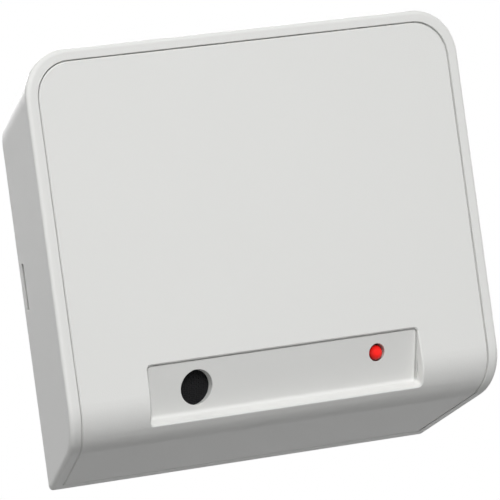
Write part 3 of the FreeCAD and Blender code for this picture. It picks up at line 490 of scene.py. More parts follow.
class NodePatterns:
    """The geometry trees that make what repeats."""

    BEND_STEPS = 4

    @staticmethod
    def _new(name: str, takes: dict[str, str]) -> Wiring:
        """Starts a tree, which takes a geometry and a material too."""
        takes = {"Geometry": "Geometry", **takes, "Material": "Material"}
        return Wiring.group("Geometry", name, takes, {"Geometry": "Geometry"})

    @staticmethod
    def _end(wiring: Wiring, made: Node) -> NodeTree:
        """Ends a tree in real geometry with its material.

        Args:
            wiring: the tree's wiring.
            made: the node that gives what the tree has made.

        Returns:
            The tree.
        """
        real = wiring.node("GeometryNodeRealizeInstances", {"Geometry": made})
        inputs = {"Geometry": real, "Material": "Material"}
        return wiring.end({"Geometry": wiring.node("GeometryNodeSetMaterial", inputs)})

    @staticmethod
    def _sweep(wiring: Wiring, lines: Node, section: Node) -> NodeTree:
        """Sweeps a section along lines and ends the tree."""
        inputs = {"Curve": lines, "Profile Curve": section, "Fill Caps": True}
        return NodePatterns._end(wiring, wiring.node("GeometryNodeCurveToMesh", inputs))

    @staticmethod
    @cache
    def scatter() -> NodeTree:
        """A copy of one shape on each given place, turned by a seeded part of a full turn.

        Returns:
            The tree.
        """
        wiring = NodePatterns._new("scatter", {"Shape": "Object", "Turn": "Float", "Seed": "Int"})
        shape = wiring.node("GeometryNodeObjectInfo", {"Object": "Shape"}).outputs["Geometry"]
        chance = wiring.node("FunctionNodeRandomValue", {"Seed": "Seed"}, data_type="FLOAT")
        turn = wiring.node("ShaderNodeCombineXYZ", {"Y": wiring.math("MULTIPLY", chance, "Turn")})
        inputs = {"Points": "Geometry", "Instance": shape, "Rotation": turn}
        return NodePatterns._end(wiring, wiring.node("GeometryNodeInstanceOnPoints", inputs))

    @staticmethod
    @cache
    def woven_disc() -> NodeTree:
        """A round plain weave in the XY plane, whose strands go over and under each other.

        Returns:
            The tree.
        """
        wiring = NodePatterns._new("woven_disc", {
            "Radius": "Float", "Pitch": "Float", "Strand": "Float", "Lift": "Float", "Count": "Int", "Steps": "Int",
            "Sides": "Int",
        })
        node, sums = wiring.node, wiring.math
        line = node("GeometryNodeCurvePrimitiveLine", {"Start": (-1.0, 0.0, 0.0), "End": (1.0, 0.0, 0.0)})
        fine = node("GeometryNodeResampleCurve", {"Curve": line, "Count": "Steps"})
        rows = node("GeometryNodeDuplicateElements", {"Geometry": fine, "Amount": "Count"}, domain="SPLINE")
        index = rows.outputs["Duplicate Index"]
        middle = sums("DIVIDE", sums("SUBTRACT", "Count", 1.0), 2.0)
        row = sums("MULTIPLY", sums("SUBTRACT", index, middle), "Pitch")
        left = sums("SUBTRACT", sums("MULTIPLY", "Radius", "Radius"), sums("MULTIPLY", row, row))
        chord = sums("SQRT", sums("MAXIMUM", left, 0.0))
        along = sums("MULTIPLY", wiring.parts(node("GeometryNodeInputPosition"))["X"], chord)
        phase = sums("MULTIPLY", sums("ADD", sums("DIVIDE", along, "Pitch"), index), math.pi)
        height = sums("MULTIPLY", sums("COSINE", phase), "Lift")
        joined = node("ShaderNodeCombineXYZ", {"X": along, "Y": row, "Z": height})
        moved = node("GeometryNodeSetPosition", {"Geometry": rows, "Position": joined})
        inputs = {"Geometry": moved, "Rotation": (0.0, 0.0, math.pi / 2), "Scale": (1.0, 1.0, -1.0)}
        crossed = node("GeometryNodeTransform", inputs)
        both = node("GeometryNodeJoinGeometry", {"Geometry": moved})
        wiring.fill(both, {"Geometry": crossed})
        section = node("GeometryNodeCurvePrimitiveCircle", {"Resolution": "Sides", "Radius": "Strand"})
        return NodePatterns._sweep(wiring, both, section)

    @staticmethod
    @cache
    def strips() -> NodeTree:
        """A flat strip along each line in the XY plane, with its corners rounded.

        Returns:
            The tree.
        """
        wiring = NodePatterns._new("strips", {"Width": "Float", "Height": "Float", "Corner": "Float"})
        lines = wiring.node("GeometryNodeMeshToCurve", {"Mesh": "Geometry"})
        inputs = {"Curve": lines, "Count": NodePatterns.BEND_STEPS, "Limit Radius": True, "Radius": "Corner"}
        bends = wiring.node("GeometryNodeFilletCurve", inputs, mode="POLY")
        upright = wiring.node("GeometryNodeSetCurveNormal", {"Curve": bends}, mode="Z_UP")
        section = wiring.node("GeometryNodeCurvePrimitiveQuadrilateral", {"Width": "Width", "Height": "Height"})
        return NodePatterns._sweep(wiring, upright, section)

    @staticmethod
    def grow(
        tree: NodeTree, name: str, places: list[Point], values: Inputs,
        edges: list[tuple[int, int]] | None = None,
    ) -> Mesh:
        """Runs a tree on given places and keeps what it makes as a plain mesh.

        Args:
            tree: the tree.
            name: the new mesh's name.
            places: the points that the tree starts from.
            values: the value of each named input.
            edges: the pairs of points that are joined, if any.

        Returns:
            The mesh.
        """
        points = bpy.data.meshes.new(f"{name}_places")
        points.from_pydata(places, edges or [], [])
        holder = new_object(f"{name}_maker", points)
        modifier = holder.modifiers.new(name, "NODES")
        modifier.node_group = tree
        for item in tree.interface.items_tree:
            if item.in_out == "INPUT" and item.name in values:
                modifier[item.identifier] = values[item.name]
        bpy.context.view_layer.update()
        evaluated = holder.evaluated_get(bpy.context.evaluated_depsgraph_get())
        mesh = bpy.data.meshes.new_from_object(evaluated)
        mesh.name = name
        holder.modifiers.remove(modifier)
        bpy.data.objects.remove(holder)
        return mesh


def new_object(name: str, data: bpy.types.ID) -> Object:
    """Makes an object and links it to the scene.

    Args:
        name: the object's name.
        data: what it shows.

    Returns:
        The object.
    """
    made = bpy.data.objects.new(name, data)
    bpy.context.scene.collection.objects.link(made)
    return made


def dress(piece: Object, finish: Finish) -> None:
    """Gives every slot of a piece the same finish.

    Args:
        piece: the object to dress.
        finish: the finish it gets.
    """
    material = finish.material()
    if not piece.material_slots:
        piece.data.materials.append(material)
    for slot in piece.material_slots:
        slot.material = material


@dataclass
class Assembly(ABC):
    """A sub-assembly, which carries over pieces of the frame and makes pieces of its own."""

    nodes: dict[str, Object]
    made: list[str] = field(default_factory=list)

    @abstractmethod
    def build(self) -> None:
        """Builds and dresses every piece."""

    def carry(self, finishes: dict[str, Finish]) -> None:
        """Dresses pieces of the frame that keep their shape.

        Args:
            finishes: the finish of each piece by name.
        """
        for name, finish in finishes.items():
            dress(self.nodes[name], finish)
            self.made.append(name)

    def add(self, mesh: Mesh, finish: Finish, slot: str, replaced: str = "") -> None:
        """Adds a piece of its own.

        Args:
            mesh: the piece's mesh, in the frame of the part.
            finish: its finish.
            slot: not used.
            replaced: the piece of the frame that it stands for, if any.
        """
        piece = new_object(mesh.name, mesh)
        dress(piece, finish)
        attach(piece, "sensor")
        if replaced:
            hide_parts(replaced)
        self.made.append(mesh.name)

    def scatter(
        self, name: str, shape: BMesh, places: list[Point], finish: Finish, slot: str,
        replaced: str = "", turn: float = 0.0,
    ) -> None:
        """Adds a piece that repeats a shape on given places.

        Args:
            name: the piece's name.
            shape: the shape, drawn round the origin.
            places: where its copies go.
            finish: their finish.
            slot: handed on to add, which does not use it.
            replaced: the piece of the frame that it stands for, if any.
            turn: the most that a copy is turned about Y.
        """
        pattern = new_object(f"{name}_pattern", Solids.close(shape, f"{name}_pattern"))
        values = {"Shape": pattern, "Turn": turn, "Seed": len(places), "Material": finish.material()}
        mesh = NodePatterns.grow(NodePatterns.scatter(), name, places, values)
        bpy.data.objects.remove(pattern)
        self.add(mesh, finish, slot, replaced)

    def middle(self, name: str) -> Vector:
        """The middle of a piece of the frame."""
        low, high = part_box(name)
        return (low + high) / 2

    def islands(self, name: str, beyond: float = -1.0) -> list[Vector]:
        """Finds the middles of the separate solids of a piece of the frame.

        Args:
            name: the piece.
            beyond: only what lies further back than this depth counts.

        Returns:
            The middle of each, from left to right and then upwards.
        """
        shape = bmesh.new()
        shape.from_mesh(self.nodes[name].data)
        bmesh.ops.remove_doubles(shape, verts=shape.verts, dist=FRAME_MERGE)
        bmesh.ops.delete(shape, geom=[v for v in shape.verts if v.co.y < beyond], context="VERTS")
        waiting = set(shape.verts)
        middles = []
        while waiting:
            group, edge = set(), [waiting.pop()]
            while edge:
                corner = edge.pop()
                group.add(corner)
                near = {link.other_vert(corner) for link in corner.link_edges} & waiting
                waiting -= near
                edge.extend(near)
            low = [min(v.co[axis] for v in group) for axis in range(3)]
            high = [max(v.co[axis] for v in group) for axis in range(3)]
            middles.append((Vector(low) + Vector(high)) / 2)
        shape.free()
        return sorted(middles, key=lambda p: (round(p.x, SORT_DIGITS), round(p.z, SORT_DIGITS)))


@dataclass
class Housing(Assembly):
    """The tray on the wall and the cover that snaps into it."""

    def build(self) -> None:
        """Dresses the two mouldings."""
        self.carry({"wall_base": WHITE, "front_cover": WHITE})


@dataclass
class SoundPort(Assembly):
    """The microphone behind its gauze."""

    tilt: float = math.radians(20.2)
    pitch: float = 0.36 * MM
    strand: float = 0.085 * MM
    lift: float = 0.07 * MM
    count: int = 27
    steps: int = 82
    sides: int = 5
    rim: float = 0.05 * MM
    weave_out: float = 0.08 * MM
    felt_out: float = -0.09 * MM
    felt_thick: float = 0.14 * MM
    felt_facets: int = 64

    def _lay(self, mesh: Mesh, out: float) -> Mesh:
        """Lays a flat mesh on the tilted plane of the gauze.

        Args:
            mesh: the mesh, drawn in the XY plane with its front upwards.
            out: how far it stands in front of the gauze's middle.

        Returns:
            The same mesh in its place.
        """
        sine, cosine = math.sin(self.tilt), math.cos(self.tilt)
        across, up, front = Vector((1, 0, 0)), Vector((0, -sine, cosine)), Vector((0, -cosine, -sine))
        turn = Matrix((across, up / cosine, front)).transposed().to_4x4()
        mesh.transform(Matrix.Translation(self.middle("acoustic_gauze") + front * out) @ turn)
        mesh.update()
        return mesh

    def build(self) -> None:
        """Weaves the gauze, backs it and dresses the microphone."""
        low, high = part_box("acoustic_gauze")
        radius, thick = (high.x - low.x) / 2 - self.rim, self.felt_thick
        values = {
            "Radius": radius - self.strand, "Pitch": self.pitch, "Strand": self.strand, "Lift": self.lift,
            "Count": self.count, "Steps": self.steps, "Sides": self.sides, "Material": GAUZE.material(),
        }
        weave = NodePatterns.grow(NodePatterns.woven_disc(), "gauze_weave", [(0.0, 0.0, 0.0)], values)
        weave.shade_smooth()
        self.add(self._lay(weave, self.weave_out), GAUZE, "gauze", "acoustic_gauze")
        profile = [(0.0, 0.0), (radius - self.rim, 0.0), (radius, self.rim), (radius, thick), (0.0, thick)]
        felt = Solids.close(Solids.lathe(profile, self.felt_facets), "gauze_felt")
        felt.transform(Matrix.Rotation(math.radians(-90), 4, "X"))
        self.add(self._lay(felt, self.felt_out), FELT, "gauze", "acoustic_gauze")
        self.carry({"microphone_boot": RUBBER, "microphone_capsule": CAN, "microphone_leads": TIN})


@dataclass
class StatusLamp(Assembly):
    """The red lamp in the recess."""

    radius: float = 1.45 * MM
    crown: float = 1.4 * MM
    set_back: float = 0.4 * MM
    flange: float = 1.0 * MM
    chamfer: float = 0.12 * MM
    dome_steps: int = 12
    facets: int = 48

    def build(self) -> None:
        """Turns the lens and dresses its leads and spacer."""
        low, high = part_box("status_lamp")
        x, z = (low.x + high.x) / 2, (low.z + high.z) / 2
        wide, tip, back = (high.x - low.x) / 2, low.y + self.set_back, high.y
        angles = [math.pi / 2 * step / self.dome_steps for step in range(self.dome_steps + 1)]
        profile = [(self.radius * math.sin(a), tip + self.crown * (1 - math.cos(a))) for a in angles]
        ledge = back - self.flange
        profile += [
            (self.radius, ledge), (wide - self.chamfer, ledge), (wide, ledge + self.chamfer),
            (wide, back - self.chamfer), (wide - self.chamfer, back), (0.0, back),
        ]
        finish = LitFinish(
            "red_lamp", (0.42, 0.008, 0.006), 0.35, 2500.0, 0.02, 0.05, 500.0, 0.0, 0.05 * MM, Kind.LENS,
            axis=(x, 0.0, z), radius=self.radius,
        )
        lens = Solids.close(Solids.lathe(profile, self.facets, x, z), "lamp_lens")
        self.add(lens, finish, "lamp", "status_lamp")
        self.carry({"lamp_leads": TIN, "lamp_spacer": PALE})


@dataclass
class CircuitBoard(Assembly):
    """The board with its soldered joints, tracks, pads and printed outlines.

    The profile of a joint is given as radius and height, in millimetres.
    """

    facets: int = 12
    sunk: float = 0.01 * MM
    tail_reach: float = 1.0 * MM
    joint: tuple[Pair, ...] = (
        (0.97, 0.0), (0.97, 0.03), (0.85, 0.05), (0.612, 0.266), (0.475, 0.6175), (0.38, 0.95), (0.0, 0.95),
    )
    track_wide: float = 0.5 * MM
    track_high: float = 0.05 * MM
    track_bend: float = 0.4 * MM
    stub_share: float = 0.6
    outline_wide: float = 0.16 * MM
    outline_high: float = 0.03 * MM
    outline_gap: float = 0.55 * MM
    ring_steps: int = 40
    side_weight: float = 0.5
    pad_reach: float = 0.35 * MM
    pad_half: Pair = (0.34 * MM, 0.7 * MM)
    pad_edge: float = 0.02 * MM
    via_reach: float = 1.55 * MM
    via_radius: float = 0.42 * MM
    via_share: float = 0.45
    via_proud: float = 0.02 * MM
    via_deep: float = 0.1 * MM
    soldered: tuple[str, ...] = (
        MICROPHONE, LAMP, CLAMPS, RELAY, CAPACITOR, CRYSTAL, TRIMMER, MODES, TAMPER, JUMPER,
    )
    outlined: tuple[str, ...] = (
        "alarm_relay", "terminal_block", CRYSTAL, TRIMMER, MODES, TAMPER, JUMPER,
    )
    ringed: tuple[str, ...] = ("supply_capacitor", "lamp_spacer", "microphone_boot")
    wired: tuple[tuple[str, int, str, int], ...] = (
        (CLAMPS, 0, RELAY, 1), (CLAMPS, 1, RELAY, 4), (CLAMPS, 2, RELAY, 2), (CLAMPS, 4, CAPACITOR, 0),
        (CLAMPS, 5, CAPACITOR, 1), (CLAMPS, 3, CRYSTAL, 0), (TAMPER, 0, JUMPER, 2), (JUMPER, 0, LAMP, 1),
        (LAMP, 0, TRIMMER, 2), (TRIMMER, 1, CRYSTAL, 1), (TRIMMER, 0, MODES, 6), (MODES, 3, MICROPHONE, 1),
        (MODES, 1, MICROPHONE, 0), (RELAY, 3, MODES, 7), (RELAY, 0, MICROPHONE, 0),
    )

    def tails(self, name: str) -> list[Vector]:
        """The pin tails of a piece on the back of the board."""
        return self.islands(name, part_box("circuit_board")[1].y + self.tail_reach)

    @staticmethod
    def _elbow(start: Vector, end: Vector) -> Route:
        """Leads a track straight from its start and then slantwise to its end.

        Args:
            start: where it starts.
            end: where it ends.

        Returns:
            Its corners as (x, z).
        """
        across, up = end.x - start.x, end.z - start.z
        slant = min(abs(across), abs(up))
        bend = (end.x - math.copysign(slant, across), end.z - math.copysign(slant, up))
        return [(start.x, start.z), bend, (end.x, end.z)]

    def _strips(self, name: str, routes: list[Route], width: float, height: float, y: float, loop: bool) -> None:
        """Adds flat strips along routes on a face of the board.

        Args:
            name: the piece's name.
            routes: the corners of each route as (x, z).
            width: how wide the strips are.
            height: how thick they are.
            y: the depth of their middle.
            loop: whether each route is closed, which makes it print and not a track.
        """
        places, edges = [], []
        for route in routes:
            first = len(places)
            places += [(x, z, 0.0) for x, z in route]
            edges += [(index, index + 1) for index in range(first, len(places) - 1)]
            if loop:
                edges.append((len(places) - 1, first))
        finish = PRINT if loop else TRACK
        values = {"Width": width, "Height": height, "Corner": self.track_bend, "Material": finish.material()}
        mesh = NodePatterns.grow(NodePatterns.strips(), name, places, values, edges)
        mesh.transform(Matrix.Translation((0.0, y, 0.0)) @ Matrix.Rotation(math.radians(90), 4, "X"))
        mesh.update()
        self.add(mesh, finish, "board")

    def _outlines(self) -> list[Route]:
        """Draws the printed outlines of the parts.

        Returns:
            The corners of each as a closed route.
        """
        routes = [Solids.rectangle(*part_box(name), -self.outline_gap) for name in self.outlined]
        for name in self.ringed:
            low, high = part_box(name)
            middle, radius = (low + high) / 2, (high.x - low.x) / 2 + self.outline_gap
            routes.append(Solids.circle(radius, self.ring_steps, middle.x, middle.z))
        return routes

    def _leads(self) -> list[tuple[Vector, float]]:
        """Finds the chips' leads.

        Returns:
            The middle of each, with the way that it points up or down the board.
        """
        middles = [self.middle("processor_chip"), self.middle("amplifier_chip")]
        leads = []
        for lead in self.islands("chip_leads"):
            near = min(middles, key=lambda chip: abs(chip.z - lead.z) + abs(chip.x - lead.x) * self.side_weight)
            leads.append((lead, math.copysign(1.0, lead.z - near.z)))
        return leads

    def _joints(self) -> None:
        """Solders every lead that comes through the board."""
        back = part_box("circuit_board")[1].y
        places = [(tail.x, back, tail.z) for name in self.soldered for tail in self.tails(name)]
        cone = Solids.lathe([(radius * MM, rise * MM) for radius, rise in self.joint], self.facets)
        self.scatter("solder_joints", cone, places, SOLDER, "lead", turn=math.tau)

    def _copper(self) -> None:
        """Lays the tracks on both faces, with pads and through holes at the chips' leads."""
        low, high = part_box("circuit_board")
        lift = self.track_high / 2 - self.sunk
        back = [self._elbow(self.tails(a)[i], self.tails(b)[j]) for a, i, b, j in self.wired]
        self._strips("back_tracks", back, self.track_wide, self.track_high, high.y + lift, False)
        leads = self._leads()
        stubs = [[(lead.x, lead.z), (lead.x, lead.z + way * self.via_reach)] for lead, way in leads]
        narrow = self.track_wide * self.stub_share
        self._strips("front_tracks", stubs, narrow, self.track_high, low.y - lift, False)
        face, inner = low.y - self.track_high, self.via_radius * self.via_share
        ring = [
            (inner, face + self.via_deep), (inner, face - self.via_proud), (self.via_radius, face - self.via_proud),
            (self.via_radius, low.y + self.sunk),
        ]
        holes = [(lead.x, 0.0, lead.z + way * self.via_reach) for lead, way in leads]
        self.scatter("through_holes", Solids.lathe(ring, self.facets), holes, SOLDER, "lead")
        wide, long = self.pad_half
        pad = Solids.soft_box((-wide, -self.track_high, -long), (wide, self.sunk, long), self.pad_edge)
        pads = [(lead.x, low.y, lead.z + way * self.pad_reach) for lead, way in leads]
        self.scatter("chip_pads", pad, pads, SOLDER, "lead")

    def build(self) -> None:
        """Builds the joints, the copper and the print, and dresses the board and its screws."""
        self._joints()
        self._copper()
        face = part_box("circuit_board")[0].y - self.outline_high / 2 + self.sunk
        self._strips("printed_outlines", self._outlines(), self.outline_wide, self.outline_high, face, True)
        self.carry({"circuit_board": GREEN_BOARD, "board_screws": ZINC})


@dataclass
class Terminals(Assembly):
    """The wiring terminals with their slotted screws."""

    radius: float = 1.45 * MM
    slot: float = 0.6 * MM
    slot_depth: float = 0.9 * MM
    rings: tuple[float, ...] = (0.5, 0.88, 1.0)
    facets: int = 28
    rim_share: float = 0.95
    rim_reach: float = 0.1 * MM
    rim_drop: float = 0.12 * MM

    def build(self) -> None:
        """Sets the screws and dresses the block and its clamps."""
        low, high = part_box("terminal_screws")
        half = self.slot / 2
        rings = [self.radius * share for share in self.rings]
        head = Solids.grooved_disc(
            rings, self.facets, [-half, half], lambda x, z: abs(z) < half, 0.0, self.slot_depth, high.y - low.y,
        )
        for corner in head.verts:
            outside = math.hypot(corner.co.x, corner.co.z) > self.radius * self.rim_share
            if outside and corner.co.y < self.rim_reach:
                corner.co.y += self.rim_drop
        places = [(middle.x, low.y, middle.z) for middle in self.islands("terminal_screws")]
        self.scatter("clamp_screws", head, places, ZINC, "screw", "terminal_screws", math.pi)
        self.carry({"terminal_block": TERMINAL, "terminal_clamps": TIN})


@dataclass
class BoardParts(Assembly):
    """The relay, the chips and the small parts of the board.

    The capacitor's sleeve is given as shares of its radius with depths in millimetres, first from its front and
    then from its back.
    """

    sleeve_front: tuple[Pair, ...] = (
        (0.0, 0.35), (0.85, 0.35), (0.85, 0.02), (0.9, 0.0), (0.95, 0.04), (0.985, 0.14), (1.0, 0.32),
    )
    sleeve_back: tuple[Pair, ...] = (
        (1.0, -2.2), (0.985, -2.05), (0.94, -1.9), (0.93, -1.75), (0.94, -1.6), (0.985, -1.45), (1.0, -1.3),
        (1.0, -0.35), (0.98, -0.12), (0.93, 0.0), (0.0, 0.0),
    )
    sleeve_facets: int = 48
    score: float = 0.11 * MM
    score_share: float = 0.6
    score_depth: float = 0.1 * MM
    top_rings: tuple[float, ...] = (0.3, 0.6, 0.82, 0.845)
    top_facets: int = 40
    top_in: float = 0.08 * MM
    top_thick: float = 0.25 * MM
    mould_edge: float = 0.09 * MM
    mould_draft: float = 0.12
    mould_bend: float = 0.5
    parting: float = 0.05 * MM
    dimple_in: float = 1.0 * MM
    dimple_radius: float = 0.42 * MM
    dimple_depth: float = 0.12 * MM
    dimple_sides: int = 16
    small_wide: float = 1.25 * MM
    small_long: float = 2.0 * MM
    cap_share: float = 0.22
    cap_edge: float = 0.06 * MM
    body_share: Point = (0.48, 0.46, 0.6)
    body_edge: float = 0.04 * MM

    def _capacitor(self) -> None:
        """Turns the capacitor's sleeve and its scored top."""
        low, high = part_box("supply_capacitor")
        x, z, r = (low.x + high.x) / 2, (low.z + high.z) / 2, (high.x - low.x) / 2
        halves = ((low.y, self.sleeve_front), (high.y, self.sleeve_back))
        profile = [(r * share, base + offset * MM) for base, steps in halves for share, offset in steps]
        sleeve = Solids.close(Solids.lathe(profile, self.sleeve_facets, x, z), "capacitor_sleeve")
        self.add(sleeve, SLEEVE, "sleeve", "supply_capacitor")
        score, reach = self.score, r * self.score_share
        top = Solids.grooved_disc(
            [r * share for share in self.top_rings], self.top_facets, [-score, score],
            lambda px, pz: min(abs(px), abs(pz)) < score and math.hypot(px, pz) < reach,
            low.y + self.top_in, self.score_depth, self.top_thick,
        )
        bmesh.ops.translate(top, verts=top.verts, vec=(x, 0.0, z))
        self.add(Solids.close(top, "capacitor_top"), CAN, "can", "supply_capacitor")

    def _chip(self, name: str) -> None:
        """Moulds a chip in two drafted halves with a dimple by its first lead.

        Args:
            name: the chip's piece in the frame.
        """
        low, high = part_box(name)
        middle, line = (low.y + high.y) / 2, self.parting
        draft = (high.y - low.y) * self.mould_draft
        shape = bmesh.new()
        levels = ((low.y, draft), (middle - line, 0.0), (middle + line, 0.0), (high.y, draft))
        loops = [[shape.verts.new((x, y, z)) for x, z in Solids.rectangle(low, high, inset)] for y, inset in levels]
        Solids.bridge(shape, loops)
        front = shape.faces.new(loops[0])
        shape.faces.new(loops[-1])
        shape.normal_update()
        kept = self._dimple(shape, front, low, draft)
        edges = [edge for edge in shape.edges if edge not in kept and edge.calc_face_angle(0.0) > self.mould_bend]
        bmesh.ops.bevel(shape, geom=edges, offset=self.mould_edge, segments=2, profile=0.5, affect="EDGES")
        self.add(Solids.close(shape, f"{name}_mould"), EPOXY, "chip", name)

    def _dimple(self, shape: BMesh, front: BMFace, low: Vector, draft: float) -> set:
        """Sinks the round dimple into the front of a chip.

        Args:
            shape: the chip.
            front: its front face, which is replaced.
            low: its lowest corner.
            draft: how far its front is drawn in.

        Returns:
            The edges of the dimple, which stay as they are.
        """
        corners, sides = list(front.verts), self.dimple_sides
        centre = Vector((low.x + draft + self.dimple_in, low.y, low.z + draft + self.dimple_in))
        rim, floor = [], []
        for across, up in Solids.circle(1.0, sides):
            spot = centre + Vector((across, 0.0, up)) * self.dimple_radius
            rim.append(shape.verts.new(spot))
            floor.append(shape.verts.new(spot + Vector((0.0, self.dimple_depth, 0.0))))
        shape.faces.remove(front)
        Solids.bridge(shape, [rim, floor])
        shape.faces.new(floor)
        bearings = {}
        for corner in corners:
            angle = math.atan2(corner.co.z - centre.z, corner.co.x - centre.x) % math.tau
            bearings[corner] = round(angle / math.tau * sides) % sides
        corners.sort(key=bearings.get)
        for step, corner in enumerate(corners):
            after = corners[(step + 1) % len(corners)]
            span = (bearings[after] - bearings[corner]) % sides
            arc = [rim[(bearings[corner] + index) % sides] for index in range(span + 1)]
            shape.faces.new([corner, after, *reversed(arc)])
        shape.normal_update()
        made = set(rim) | set(floor)
        return {edge for edge in shape.edges if set(edge.verts) <= made}

    def _small_parts(self) -> None:
        """Sets the small resistors and capacitors with their tinned ends."""
        low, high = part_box("small_parts")
        wide, deep, long = self.small_wide, high.y - low.y, self.small_long
        cap = long * self.cap_share
        across, ahead, over = (size * share for size, share in zip((wide, deep, cap), self.body_share))
        body = Solids.soft_box(
            (-across, -ahead, -long / 2 + over), (across, deep / 2, long / 2 - over), self.body_edge,
        )
        end = Solids.soft_box((-wide / 2, -deep / 2, -cap / 2), (wide / 2, deep / 2, cap / 2), self.cap_edge)
        spots = [tuple(place) for place in self.islands("small_parts")]
        offset = long / 2 - cap / 2
        ends = [(x, y, z + side * offset) for x, y, z in spots for side in (-1, 1)]
        for name, shape, places, finish in (
            ("ceramic_bodies", body.copy(), spots[::2], CERAMIC), ("film_bodies", body, spots[1::2], EPOXY),
            ("tinned_ends", end, ends, TIN),
        ):
            self.scatter(name, shape, places, finish, "small_part", "small_parts")

    def build(self) -> None:
        """Builds the parts and dresses those that keep their shape."""
        self._capacitor()
        self._chip("processor_chip")
        self._chip("amplifier_chip")
        self._small_parts()
        self.carry({
            "alarm_relay": BLACK, "relay_pins": TIN, "chip_leads": TIN, "capacitor_leads": TIN,
            "timing_crystal": CAN,
        })


@dataclass
class Controls(Assembly):
    """What the installer sets, and the tamper switch."""

    sliders: int = 4

    def build(self) -> None:
        """Dresses the trimmer, the switches and the jumper."""
        self.carry({
            "trimmer_body": BLUE, "trimmer_rotor": PALE, "mode_switch_body": RED, "tamper_switch_body": SWITCH,
            "tamper_plunger": PALE, "jumper_header": SWITCH, "jumper_cap": BLUE,
        })
        self.carry({f"mode_slider_{index}": PALE for index in range(1, self.sliders + 1)})


@dataclass(frozen=True)
class SoftBox:
    """One soft box that faces the object."""

    name: str
    place: Point
    size: float
    power: float
    spread: float
    mirrored: bool = True
    aim: Point = (0.0, -0.01, 0.0)

    def hang(self) -> None:
        """Hangs the lamp and aims it."""
        data = bpy.data.lights.new(self.name, "AREA")
        data.size = self.size
        data.energy = self.power
        data.spread = math.radians(self.spread)
        lamp = new_object(self.name, data)
        lamp.location = self.place
        lamp.visible_glossy = self.mirrored
        ahead = Vector(self.aim) - Vector(self.place)
        lamp.rotation_euler = ahead.to_track_quat("-Z", "Y").to_euler()


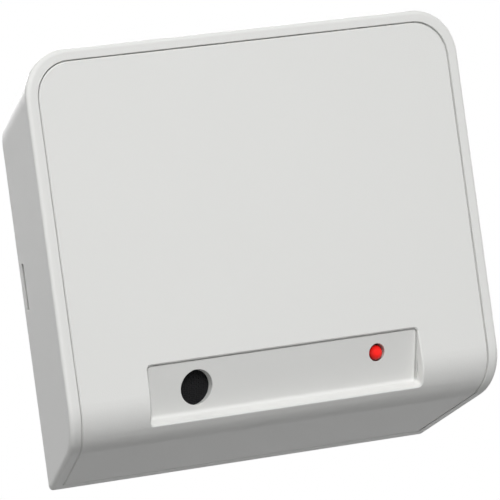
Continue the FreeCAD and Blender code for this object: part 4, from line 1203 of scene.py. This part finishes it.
@dataclass
class Studio:
    """The camera, the floor and the lights."""

    yaw: float = 26.0
    pitch: float = 0.415
    roll: float = 7.761
    distance: float = 922.3 * MM
    target: Point = (2.739 * MM, -11.0 * MM, 2.749 * MM)
    lens: float = 352.35
    sensor: float = 36.0
    clip: Pair = (0.05, 20.0)
    light: tuple[float, ...] = (1.0, 1.0, 1.0, 1.0)
    sky: float = 0.18
    floor_z: float = -300.0 * MM
    floor_half: float = 900.0 * MM
    floor_clear: Pair = (250.0 * MM, 850.0 * MM)
    floor_paint: tuple[float, ...] = (0.65, 0.65, 0.65, 1.0)
    floor_roughness: float = 0.9
    floor_mirror: float = 0.1
    floor_glow: float = 0.55
    boxes: tuple[SoftBox, ...] = (
        SoftBox("key", (-0.26, -1.0, 0.6), 0.5, 0.94, 40.0, mirrored=False),
        SoftBox("left", (-1.0, -0.15, 0.2), 0.6, 0.28, 60.0),
        SoftBox("right", (1.0, 0.25, 0.15), 0.6, 0.3, 60.0),
        SoftBox("rear", (0.4, 1.1, 0.3), 0.6, 0.85, 60.0),
    )

    def camera(self) -> None:
        """Places the camera at the photograph's viewing angle."""
        yaw, pitch, roll = (math.radians(a) for a in (self.yaw, self.pitch, self.roll))
        ahead = Vector((math.sin(yaw) * math.cos(pitch), math.cos(yaw) * math.cos(pitch), math.sin(pitch)))
        right = Vector((math.cos(yaw), -math.sin(yaw), 0.0))
        up = right.cross(ahead)
        across = right * math.cos(roll) - up * math.sin(roll)
        upright = right * math.sin(roll) + up * math.cos(roll)
        data = bpy.data.cameras.new("camera")
        data.lens = self.lens
        data.sensor_width = self.sensor
        data.clip_start, data.clip_end = self.clip
        holder = new_object("camera", data)
        turn = Matrix((across, upright, -ahead)).transposed().to_4x4()
        holder.matrix_world = Matrix.Translation(Vector(self.target) - ahead * self.distance) @ turn
        bpy.context.scene.camera = holder

    def floor(self) -> None:
        """Lays the plain pale floor, which fades out before its edge and shows only from above."""
        half = self.floor_half
        mesh = bpy.data.meshes.new("floor")
        corners = [(-half, -half), (half, -half), (half, half), (-half, half)]
        mesh.from_pydata([(x, y, self.floor_z) for x, y in corners], [], [(0, 1, 2, 3)])
        floor = new_object("floor", mesh)
        material = bpy.data.materials.new("floor_paint")
        material.use_nodes = True
        wiring = Wiring(material.node_tree)
        split = wiring.parts(wiring.place)
        fade = wiring.node("ShaderNodeMapRange", {
            "Value": wiring.reach(split["X"], split["Y"]), "From Min": self.floor_clear[0],
            "From Max": self.floor_clear[1], "To Min": 1.0, "To Max": 0.0,
        }, interpolation_type="SMOOTHSTEP")
        front = wiring.math("SUBTRACT", 1.0, wiring.node("ShaderNodeNewGeometry").outputs["Backfacing"])
        seen = wiring.node("ShaderNodeLightPath").outputs["Is Camera Ray"]
        wiring.fill(wiring.tree.nodes["Principled BSDF"], {
            "Base Color": self.floor_paint, "Roughness": self.floor_roughness, "Emission Color": self.light,
            "Specular IOR Level": self.floor_mirror, "Alpha": wiring.math("MULTIPLY", fade, front),
            "Emission Strength": wiring.math("MULTIPLY", seen, self.floor_glow),
        })
        mesh.materials.append(material)

    def world(self) -> None:
        """Sets the soft sky, which the camera and mirrors see as white."""
        world = bpy.data.worlds.new("sky")
        world.use_nodes = True
        bpy.context.scene.world = world
        wiring = Wiring(world.node_tree)
        path = wiring.node("ShaderNodeLightPath").outputs
        seen = wiring.math("MAXIMUM", path["Is Camera Ray"], path["Is Transmission Ray"])
        seen = wiring.math("MAXIMUM", seen, path["Is Glossy Ray"])
        lift = wiring.math("MULTIPLY_ADD", seen, 1.0 - self.sky, self.sky)
        wiring.fill(wiring.tree.nodes["Background"], {"Color": self.light, "Strength": lift})

    def build(self) -> None:
        """Builds the whole studio."""
        bpy.context.scene.view_settings.view_transform = "Standard"
        self.camera()
        self.floor()
        self.world()
        for box in self.boxes:
            box.hang()


def main() -> None:
    """Builds every sub-assembly in order."""
    logging.basicConfig(level=logging.INFO, format="%(name)s: %(message)s")
    for leftover in list(bpy.data.objects):
        bpy.data.objects.remove(leftover)
    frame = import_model()
    Studio().build()
    for kind in (Housing, SoundPort, StatusLamp, CircuitBoard, Terminals, BoardParts, Controls):
        assembly = kind(frame["nodes"])
        assembly.build()
        for name in assembly.made:
            LOG.info("%s: %s", kind.__name__, name)


if __name__ == "__main__":
    main()
